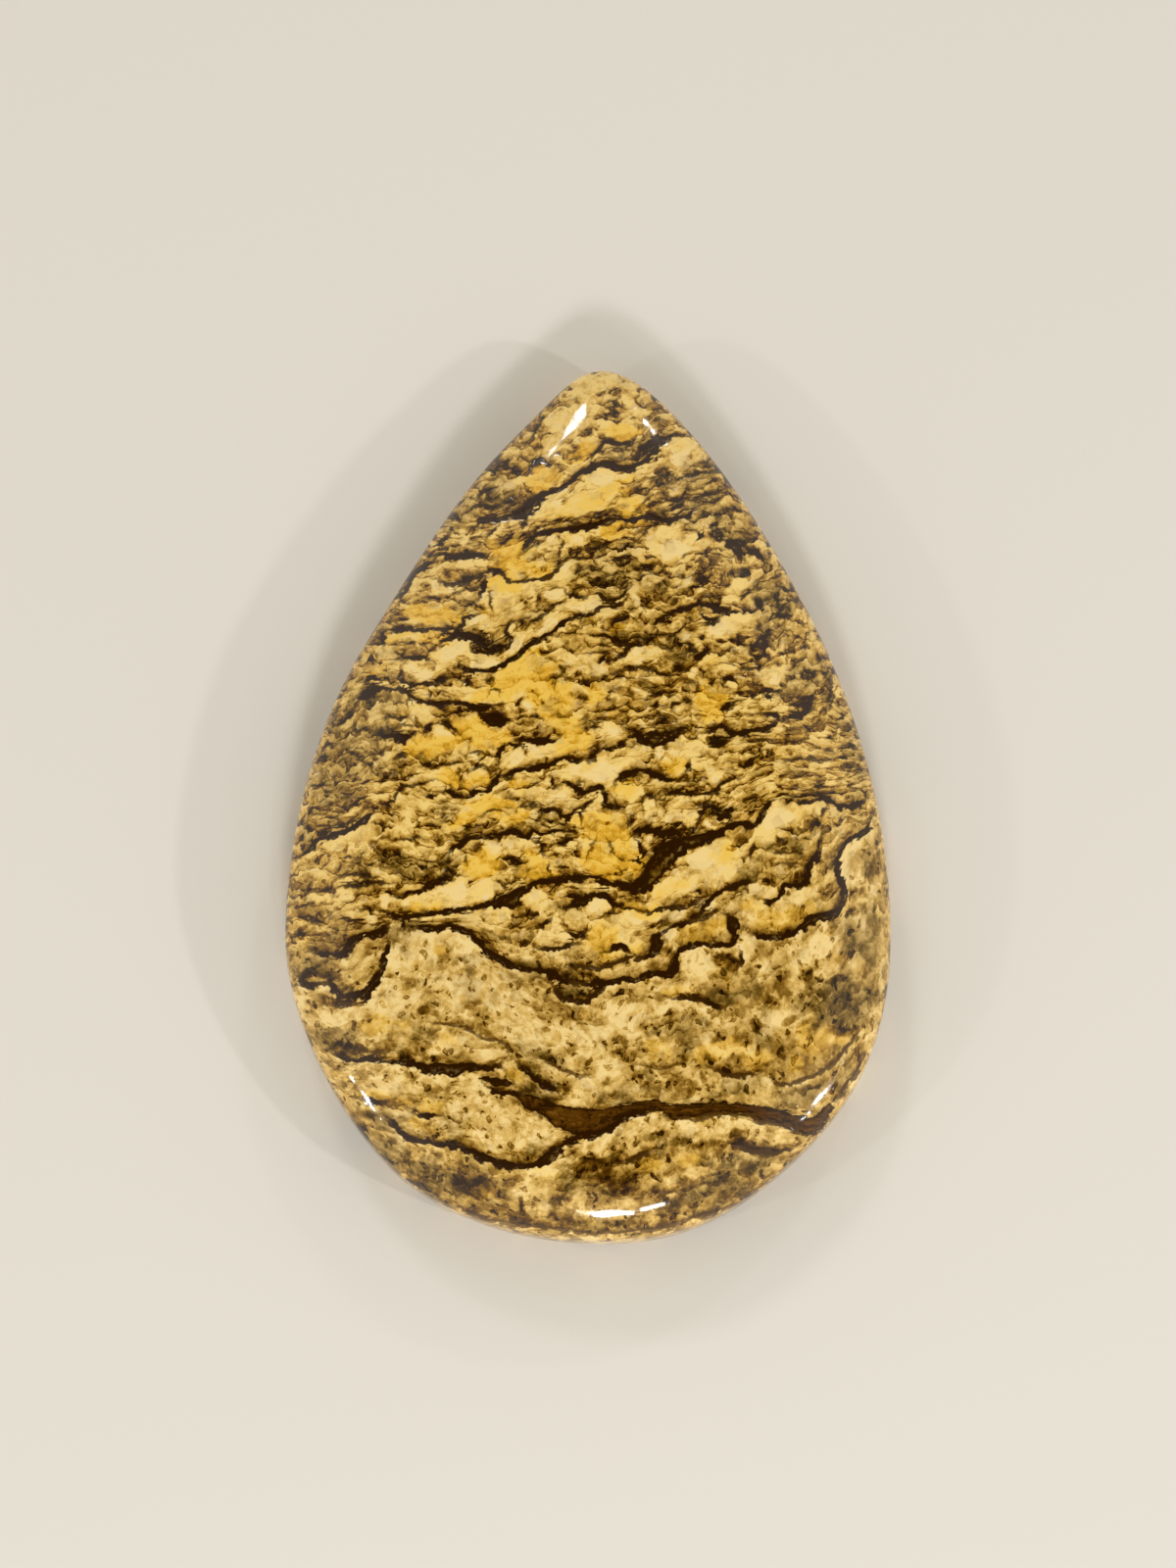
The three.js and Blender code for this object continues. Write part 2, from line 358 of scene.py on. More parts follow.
     (-6.2, -4.05), (-5.5, -3.85), (-5, -3.6), (-4.4, -3.95), (-4, -4.15), (-3.6, -3.7), (-3.1, -3.85),
     (-2.3, -3.75), (-1.6, -3.65), (-0.9, -3.7)),
    (0.24, (-16.4, -6.95), (-15.6, -6.7), (-14.8, -6.6), (-14.1, -6.7), (-13.4, -6.8)),
    (0.26, (-16.5, -7.65), (-16, -7.4), (-15.3, -7.35), (-14.4, -7.2), (-13.4, -7.2), (-12.5, -7.2)),
    (0.24, (-18.1, -7.7), (-17.4, -7.65), (-16.6, -7.75)),
    (0.34, (-13.7, -7.9, 0.14), (-13.1, -7.85, 0.14), (-12.7, -8, 0.18), (-12.3, -8.1, 0.22),
     (-11.9, -7.95), (-11.6, -7.8), (-11.1, -7.8), (-10.7, -7.55), (-10.1, -7.3), (-9.5, -7.1),
     (-8.8, -6.95)),
    (0.36, (-15.5, -9.05, 0.14), (-14.7, -8.95, 0.14), (-13.9, -8.95, 0.14), (-13, -9.2, 0.18),
     (-12.5, -9.35), (-11.8, -9.4), (-10.9, -9.35), (-10.2, -9.25), (-9.5, -9.1), (-8.8, -9.05, 0.45),
     (-8, -8.9), (-7.2, -8.8), (-6.3, -8.6, 0.5), (-5.5, -8.4, 0.8), (-4.9, -8.3, 1), (-4.5, -7.9, 0.7),
     (-3.9, -7.4, 0.45), (-2.9, -7.05, 0.45), (-2, -7), (-1.2, -6.95), (0, -6.85, 0.3), (1, -6.95),
     (1.7, -7.2), (2.2, -7.5, 0.5)),
    (0.3, (-1.3, -8.9, 0.7), (-0.9, -8.5, 0.8), (-0.3, -8.4, 0.7), (0.3, -8, 0.45), (1, -8, 0.5),
     (1.4, -8.35, 0.35), (1.9, -8.65), (2.7, -8.9), (3.3, -9.05, 0.18), (4.1, -9.1), (4.7, -8.9),
     (5.2, -8.85), (6.2, -8.75), (7, -8.45), (7.7, -8.2)),
    (0.34, (6.2, -9.9), (6.9, -9.5), (7.4, -8.95), (8, -8.25, 0.42), (8.8, -7.7), (9.5, -7.35),
     (10.1, -7.15), (10.8, -7), (11.3, -6.95)),
    (0.34, (-3.5, -10.3), (-2.9, -10), (-2.5, -9.6), (-2.3, -9.3)),
    (0.38, (11, -8.2), (11.5, -8.4), (12.1, -8.5, 0.45), (12.5, -8), (12.7, -7.6), (12.9, -7.3),
     (13.5, -7.3), (14, -7.2, 0.45), (14.4, -6.8, 0.45), (14.3, -6.3), (14.6, -5.75), (15, -5.2),
     (15.2, -4.4)),
    (0.7, (3, -7.8, 0.9), (3.6, -7.3, 1.2), (4.4, -6.3, 1.3), (5.1, -5.3, 1.5), (6, -4.7, 1.2),
     (7.2, -4.25, 0.8), (8.3, -3.95, 0.55), (9, -3.6, 0.5), (9.6, -3.3, 0.5), (10.2, -3.2, 0.45),
     (10.7, -3.35, 0.4), (11.1, -2.95, 0.4), (11.35, -2.5, 0.45), (11.6, -2, 0.4), (12, -1.65, 0.4),
     (12.5, -1.5, 0.3)),
    (0.4, (13.3, -1.55), (13.8, -1.65), (14.3, -1.7), (14.8, -1.55), (15.3, -1.45), (15.8, -1.6),
     (16.2, -1.95), (16.8, -2.05), (17.4, -1.95), (18, -1.7), (18.4, -1.2)),
    (0.42, (10.2, -10.2, 0.3), (10.6, -10.5, 0.3), (11.4, -10.75), (12.2, -10.7), (13, -10.65),
     (13.6, -10.4), (14, -10, 0.6), (14.5, -9.65, 0.8), (15.1, -9.5, 0.75), (15.7, -9.3, 0.65),
     (16.2, -9.05, 0.5), (16.4, -8.7), (16.6, -8.2, 0.6), (16.7, -7.7, 0.6), (16.5, -7, 0.5),
     (16.3, -6.3), (16.4, -5.6), (16.5, -5), (16.8, -4.5), (17.3, -4.2), (17.9, -3.8), (18.4, -3.4),
     (18.6, -2.6)),
    (0.28, (-18.7, -9.45), (-18, -9.5), (-17.6, -9.9)),
    (0.36, (10.3, 0.6), (10.7, 1), (11, 1.3)),
    (0.16, (9, 1.05), (9.9, 1.1)),
    (0.32, (6.5, 0.3), (6.6, 0.7), (6.7, 1.1)),
    (0.3, (-12.7, 1.15), (-12.3, 1.5), (-11.8, 1.65)),
    (0.18, (-13.2, 0.6), (-12.7, 0.5), (-12.3, 0.4)),
    (0.22, (-13.4, -0.3), (-12.9, 0.2)),
    (0.35, (-10.7, -1.25), (-10.2, -1.4), (-9.8, -1.2)),
    (0.24, (-6.9, -2.7), (-6.5, -2.35), (-6, -2.25), (-5.4, -2.5)),
    (0.28, (-5.6, -0.05), (-5.2, -0.1), (-4.8, 0.1)),
    (0.16, (-9.7, -0.35), (-9.1, -0.6), (-8.5, -1)),
    (0.3, (-2.45, 0.2), (-2.35, -0.5), (-2, -0.75)),
    (0.34, (-2, -0.15), (-1.55, -0.35), (-1, -0.6), (-0.7, -0.95), (-0.3, -1.1), (0.2, -0.8, 0.42),
     (0.85, -0.75, 0.42), (1.15, -1.1), (1.05, -1.65), (1.45, -1.95), (2.4, -2.15, 0.2)),
    (0.2, (-0.9, -0.45), (-0.5, -0.25), (-0.25, -0.4)),
    (0.3, (-0.7, -2.2), (-0.2, -1.95), (0.2, -1.7), (0.5, -1.4)),
    (0.3, (-3.1, -2.6), (-2.7, -2.3), (-2.1, -2.3), (-1.75, -2.65), (-1.4, -2.75, 0.5), (-1, -2.4),
     (-0.7, -2.4), (-0.4, -2.8), (-0.3, -3.3)),
    (0.26, (-4.6, -2.3), (-4.2, -1.9), (-3.6, -1.85), (-3.1, -2.05)),
    (0.24, (-2, -4.7), (-1.6, -4.6), (-1.2, -4.3), (-0.8, -4.35)),
    (0.34, (-3.6, -4.3), (-3.1, -4.6), (-2.9, -5.3)),
    (0.2, (-4.8, -6.7), (-4.1, -6.9)),
    (0.38, (1.7, -0.65), (1.85, -0.35), (2.3, 0.1), (2.75, 0.35), (3.45, 0.42), (4.1, 0.3),
     (4.45, 0.05), (5, -0.15), (5.8, -0.2), (6.2, -0.1, 0.2)),
    (0.3, (4.5, -1.25), (5, -1.1), (5.5, -1.15), (6.2, -1.1), (6.9, -1.25), (7.8, -1.15), (8.4, -0.95),
     (8.9, -0.4), (9.5, -0.1), (10.2, 0.1)),
    (0.24, (3.6, -2.2), (3.65, -1.6), (3.85, -1.25), (4.2, -1.2), (4.4, -1.5), (4.5, -1.9)),
    (0.28, (2.6, -3.45), (2.7, -3.05), (3.1, -2.95)),
    (0.5, (3.2, -3.7), (4, -3.75), (4.8, -3.8), (5.6, -3.7), (6.4, -3.6, 0.3)),
    (0.36, (3, -4.1), (3.3, -4.6), (3.6, -5), (3.5, -5.6), (3.25, -5.85)),
    (0.18, (0.55, -4.1), (0.1, -4.9), (-0.15, -5.6)),
    (0.18, (1.2, -4.2), (1.6, -5), (2.1, -5.5)),
    (0.5, (0, -6.95), (1, -7.05), (2, -7.25), (3, -7.5), (3.7, -7.3)),
    (0.3, (8.3, -1.75), (7.7, -1.9), (7.35, -2.5), (7.1, -3.2)),
    (0.42, (8.2, -2.35), (8.7, -2.75), (9.2, -2.55), (9.4, -2.2)),
    (0.26, (10.8, -4.5), (10.65, -5), (10.6, -5.5)),
    (0.24, (11.8, -4.95), (12.4, -5.1), (13.1, -5.05), (13.8, -5.2)),
    (0.18, (12.4, -5.9), (13.3, -5.9), (14, -5.95)),
    (0.28, (15.6, -1.9), (15.3, -2.3), (15.1, -2.7)),
    (0.24, (-9, -5.3), (-9.2, -5.7), (-9.6, -5.9)),
    (0.36, (-12, -9.5), (-11.95, -10.3)),
    # Below the middle.
    (0.42, (-11.6, -10.25), (-10.8, -10.15), (-10.3, -10.15), (-9.7, -10.25), (-9, -10), (-8.6, -10.15),
     (-7.9, -10.4), (-7.4, -10.8), (-6.9, -11.3, 0.5), (-6.3, -11.9, 0.55), (-5.5, -12.35, 0.55),
     (-4.8, -12.7, 0.5), (-4, -12.85, 0.5), (-3.2, -12.95), (-2.6, -13.05), (-2.2, -13.3, 0.6),
     (-1.6, -13.7), (-1, -13.8, 0.3), (-0.3, -13.85, 0.3), (0.4, -13.85), (1, -13.85, 0.5),
     (1.7, -13.7), (2.4, -13.5), (3.1, -13.6), (3.7, -13.3), (4.4, -13.15), (5, -13.35, 0.5),
     (5.5, -13.1, 0.6), (5.75, -12.6, 0.5), (5.9, -11.9), (6.2, -11.45), (6.7, -11.4), (7.3, -11.2),
     (8, -11.2), (8.6, -11.35), (9.1, -11.45), (9.5, -11.1), (9.5, -10.5, 0.5), (9.4, -9.7, 0.9),
     (9, -9.1)),
    (0.34, (-2.6, -13.7), (-2.1, -14.3), (-1.5, -14.85), (-0.6, -15), (0, -15), (0.5, -14.5),
     (1, -14.1), (1.6, -13.85)),
    (0.3, (-1.6, -12.6), (-0.9, -12.75), (-0.2, -12.7), (0.5, -12.8), (1.1, -12.7), (1.7, -12.5),
     (2.3, -12.3), (2.9, -12.2), (3.6, -12.15), (4.1, -11.85, 0.5), (4.5, -11.3, 0.7),
     (4.4, -10.75, 0.5), (4.8, -10.45), (5.4, -10.2), (5.9, -10, 0.42), (6.6, -9.7), (7.3, -9.45),
     (8, -9.2), (8.7, -9)),
    (0.32, (-3.7, -11.35), (-3, -11.5), (-2.3, -11.6), (-1.8, -11.5), (-1.2, -11.3), (-0.4, -11.2)),
    (0.34, (-1.7, -10.5), (-1.2, -10.5), (-0.75, -10.65, 0.45), (-0.2, -10.5), (0.15, -10.15)),
    (0.38, (0.9, -11.85), (1.4, -11.75), (1.85, -11.4), (2.3, -11.4), (2.65, -11.75), (3.1, -12.1)),
    (0.34, (5, -14.7), (5.7, -14.75), (6.4, -14.8), (7, -14.75), (7.5, -15.05), (8.1, -15.3, 0.4),
     (8.8, -15.4), (9.2, -15.25)),
    (0.36, (9.7, -12.9), (9.95, -12.3), (9.95, -11.6)),
    (0.45, (-18.9, -13), (-18.6, -13.5), (-18.1, -14), (-17.4, -13.85, 0.3), (-16.8, -13.85, 0.3),
     (-16.4, -14.2), (-16, -14.55), (-15.4, -14.65, 0.5), (-14.8, -14.65, 0.6), (-14.3, -14.5, 0.75),
     (-13.9, -14, 0.7), (-13.6, -13.4, 0.6), (-13.3, -12.7, 0.5), (-13.1, -11.9), (-12.9, -11.3),
     (-13, -10.7, 0.25)),
    (0.3, (-17.1, -15.25), (-16.3, -15.25), (-15.4, -15.15), (-14.5, -15.25)),
    (0.4, (-18.1, -11.7), (-17.7, -11.8), (-17, -11.9), (-16.3, -11.9), (-15.8, -11.75, 0.5),
     (-15.4, -11.3, 0.5), (-15.1, -10.85, 0.5), (-14.5, -10.6), (-13.8, -10.6), (-13.2, -10.25),
     (-12.9, -9.9), (-12.7, -9.6)),
    (0.36, (-16.7, -18.1), (-16.2, -18.5), (-15.4, -18.8), (-14.8, -18.9), (-14, -18.8), (-13.4, -18.8),
     (-12.6, -18.9), (-11.8, -19), (-11.1, -19.2, 0.5), (-10.4, -19.4, 0.65), (-9.7, -19.4, 0.7),
     (-8.9, -19.5, 0.75), (-8.1, -19.45, 0.65), (-7.4, -19.3, 0.5), (-6.7, -19.3), (-6.2, -19.4),
     (-5.6, -19.25), (-5.2, -18.8)),
    (0.26, (-14.4, -18.35), (-13.7, -18.3), (-13, -18.3), (-12.6, -18.25)),
    (0.24, (-10.3, -16.4), (-9.7, -16.55), (-8.9, -16.45), (-8.2, -16.65), (-7.5, -16.95),
     (-6.9, -17.2), (-6.3, -17.6), (-5.6, -17.6), (-5.2, -17.9), (-5.1, -18.5), (-5.2, -18.9)),
    (0.24, (-3, -18.8), (-2.5, -19), (-1.8, -19.4), (-1.2, -19.7), (-0.5, -19.85), (0.2, -19.85)),
    (0.2, (3, -19.1), (3.8, -19.3), (4.6, -19.45), (5.3, -19.3), (5.8, -19.1)),
    (0.3, (7.6, -19.3), (8.3, -19.55), (9, -19.85), (9.8, -19.85), (10.5, -19.75), (11.3, -19.65)),
    (0.26, (11.6, -20), (12.3, -20.5), (13, -20.45), (13.9, -20.1), (14.8, -19.7), (15.6, -19.2),
     (16.3, -18.6), (16.9, -17.7), (17.6, -16.9)),
    # The lower rim.
    (0.42, (-4.8, -18.9), (-4.3, -19.3), (-3.8, -19.5), (-3.5, -20), (-2.9, -20.4), (-2.4, -20.7),
     (-2, -20.9), (-1.6, -21.2)),
    (0.38, (-6.8, -20.3), (-6.2, -20.75), (-5.5, -21), (-4.9, -21.05), (-4.2, -21), (-3.6, -20.9)),
    (0.28, (15.6, -21.7), (16.3, -20.9), (16.9, -20.1), (17.5, -19.2), (17.9, -18.5)),
    (0.42, (-14.9, -21.3), (-14.3, -21.4), (-13.6, -21.65), (-12.9, -21.8, 0.2), (-12.3, -21.9, 0.3),
     (-11.8, -21.8)),
    (0.42, (-13.2, -22.5), (-12.7, -22.75), (-12.4, -23.1), (-11.9, -23.6), (-11.3, -23.95),
     (-10.7, -24.1), (-10.1, -24.15), (-9.5, -24.3), (-8.7, -24.4), (-8.1, -24.5), (-7.7, -24.7),
     (-7.2, -24.8, 0.45), (-6.7, -25.2, 0.5), (-6.1, -25.4, 0.6), (-5.5, -25.55, 0.5), (-4.8, -25.7),
     (-3.9, -25.7), (-3.1, -25.6, 0.5), (-2.6, -25.2, 0.7), (-2.1, -24.7, 0.7), (-1.5, -24.35, 0.5),
     (-0.9, -24), (0.2, -23.75), (1, -23.5), (1.6, -23.2), (2.1, -22.65), (3, -22.35), (3.7, -22.3),
     (4.3, -22.15, 0.2)),
    (0.38, (-11.2, -22.1), (-10.7, -22.4), (-10.1, -22.5), (-9.3, -22.5)),
    (0.26, (5.2, -22.75), (6, -22.65), (6.9, -22.65), (7.7, -22.45), (8.4, -22.35), (9.1, -22.35),
     (9.8, -22.4), (10.5, -22.35), (10.9, -22.9), (11.6, -22.8), (12.1, -23.05), (12.7, -23.05),
     (13.4, -23.5), (14.2, -23.9)),
    (0.22, (-8.5, -28.05), (-7.9, -28.55), (-7.3, -28.85), (-6.5, -29.15), (-5.5, -29.25),
     (-4.8, -29.4), (-3.9, -29.55), (-3.1, -29.6), (-2.1, -29.7), (-1.2, -29.8), (-0.3, -30),
     (0.5, -30.05), (1.3, -29.98), (2.4, -29.9), (3.3, -29.8), (4.2, -29.75), (4.9, -29.65),
     (5.5, -29.45), (6.2, -29.15), (7.1, -29), (7.9, -28.8), (8.7, -28.4), (9.6, -28.2),
     (10.3, -27.95)),
    (0.3, (-11.5, -26.7), (-11, -26.95), (-10.3, -27.35)),
    (0.3, (1.6, -25.6), (2.4, -25.4), (3.2, -25.1), (3.9, -24.75), (4.5, -24.5)),
    (0.3, (9, -24.3), (9.8, -24.6), (10.8, -24.8), (11.8, -24.85), (12.8, -24.6), (13.6, -24.3)),
    (0.26, (7.2, -26.8), (8, -26.9), (8.8, -26.7)),
    (0.24, (4.4, -27.5), (5, -27.3), (5.6, -27.4)),
)

# The red-brown veins, in the same way.
AMBER_VEINS = (
    (0.8, (-5, -20.9, 0.3), (-4.3, -21.3, 0.6), (-3, -21.9, 1), (-1.8, -22.45, 1.4), (-0.6, -22.8, 1.8),
     (0.4, -22.8, 1.65), (1.5, -22.55, 1.3), (2.2, -22.15, 0.9), (3.4, -21.87, 0.78),
     (4.4, -21.75, 0.7), (4.9, -21.95, 0.6), (5.4, -22.15, 0.95), (7, -22.1, 0.9), (8, -22, 0.8),
     (9, -21.95, 0.75), (10.2, -22.05, 0.8), (11, -22.3, 1), (12, -22.45, 1), (13, -22.8, 1.05),
     (13.8, -23.1, 1.2), (14.6, -23, 1), (15.3, -22.1, 0.6), (16, -21.1, 0.35)),
    (0.3, (-6.9, -20), (-6.1, -20.3, 0.5), (-5.2, -20.35, 0.55), (-4.3, -20.3, 0.3)),
)

# Short dark blots: middle x and y, length, width and, where they lean, turn in degrees.
BLOTS = (
    (-11.7, 10.3, 0.5, 0.36), (-10.3, 7.55, 0.3, 0.16, 60), (-8.4, 6.6, 0.5, 0.26, -60),
    (-2.15, 6.4, 0.5, 0.24, 90), (5, 5.8, 0.3, 0.3), (8.15, 6.45, 0.3, 0.3), (10.85, 5.45, 0.3, 0.3),
    (11.9, 5.45, 0.5, 0.45), (7.1, 2.7, 0.36, 0.25), (7.45, 1.4, 0.3, 0.25), (4.85, 1.35, 0.3, 0.2, 60),
    (4.35, 1.45, 0.3, 0.16), (-4.3, 17.5, 0.6, 0.3, 70), (-0.7, 15.45, 0.4, 0.26), (5, 19.3, 0.3, 0.2),
    (7.9, 15.25, 0.4, 0.3), (7.5, 15, 0.3, 0.2), (-5.4, 21.7, 0.6, 0.4), (-4.7, 21.2, 0.7, 0.4),
    (-4.5, 22.9, 0.3, 0.2), (1, 27, 0.4, 0.2, 80), (1.25, 25.2, 0.4, 0.24), (3.05, 25.1, 0.3, 0.16),
    (-4.65, -1.45, 0.3, 0.2), (2.6, -0.5, 0.5, 0.26), (4.9, -1.55, 0.6, 0.3),
    (2.2, -5.55, 0.3, 0.26, -50), (2.8, -5.75, 0.2, 0.2), (3.3, -5.75, 0.3, 0.36),
    (3.9, -6.8, 0.3, 0.26), (-4.9, -5.8, 0.4, 0.4), (-2.5, -6.2, 0.6, 0.3, 90),
    (12.7, -0.55, 0.4, 0.16), (7.2, -7.8, 0.7, 0.4), (12, 10.1, 0.5, 0.45), (11.5, 9.5, 0.8, 0.35),
    (12.6, 7.8, 0.45, 0.26), (8.8, 9.25, 0.25, 0.2), (7.55, 9.6, 0.3, 0.3), (-15.7, -5.45, 0.3, 0.24),
    (-7.9, -5.6, 0.6, 0.26, 90), (-8.5, -6.7, 0.3, 0.25), (-16.5, -7.8, 0.5, 0.2, 60),
    (6.4, 13.9, 0.5, 0.2), (7.65, 13.55, 0.8, 0.5, 45), (9.25, 4.6, 0.4, 0.3, 60),
    (0.45, 3.35, 0.8, 0.3), (-0.65, 7.1, 0.3, 0.2), (1.3, 7.9, 0.5, 0.3), (5.6, 4.9, 0.7, 0.2),
    (4.3, 3.55, 0.9, 0.16), (6.85, 8.75, 0.5, 0.36, 70), (13.4, 4.1, 0.6, 0.4), (14.5, 4.7, 0.8, 0.35),
)

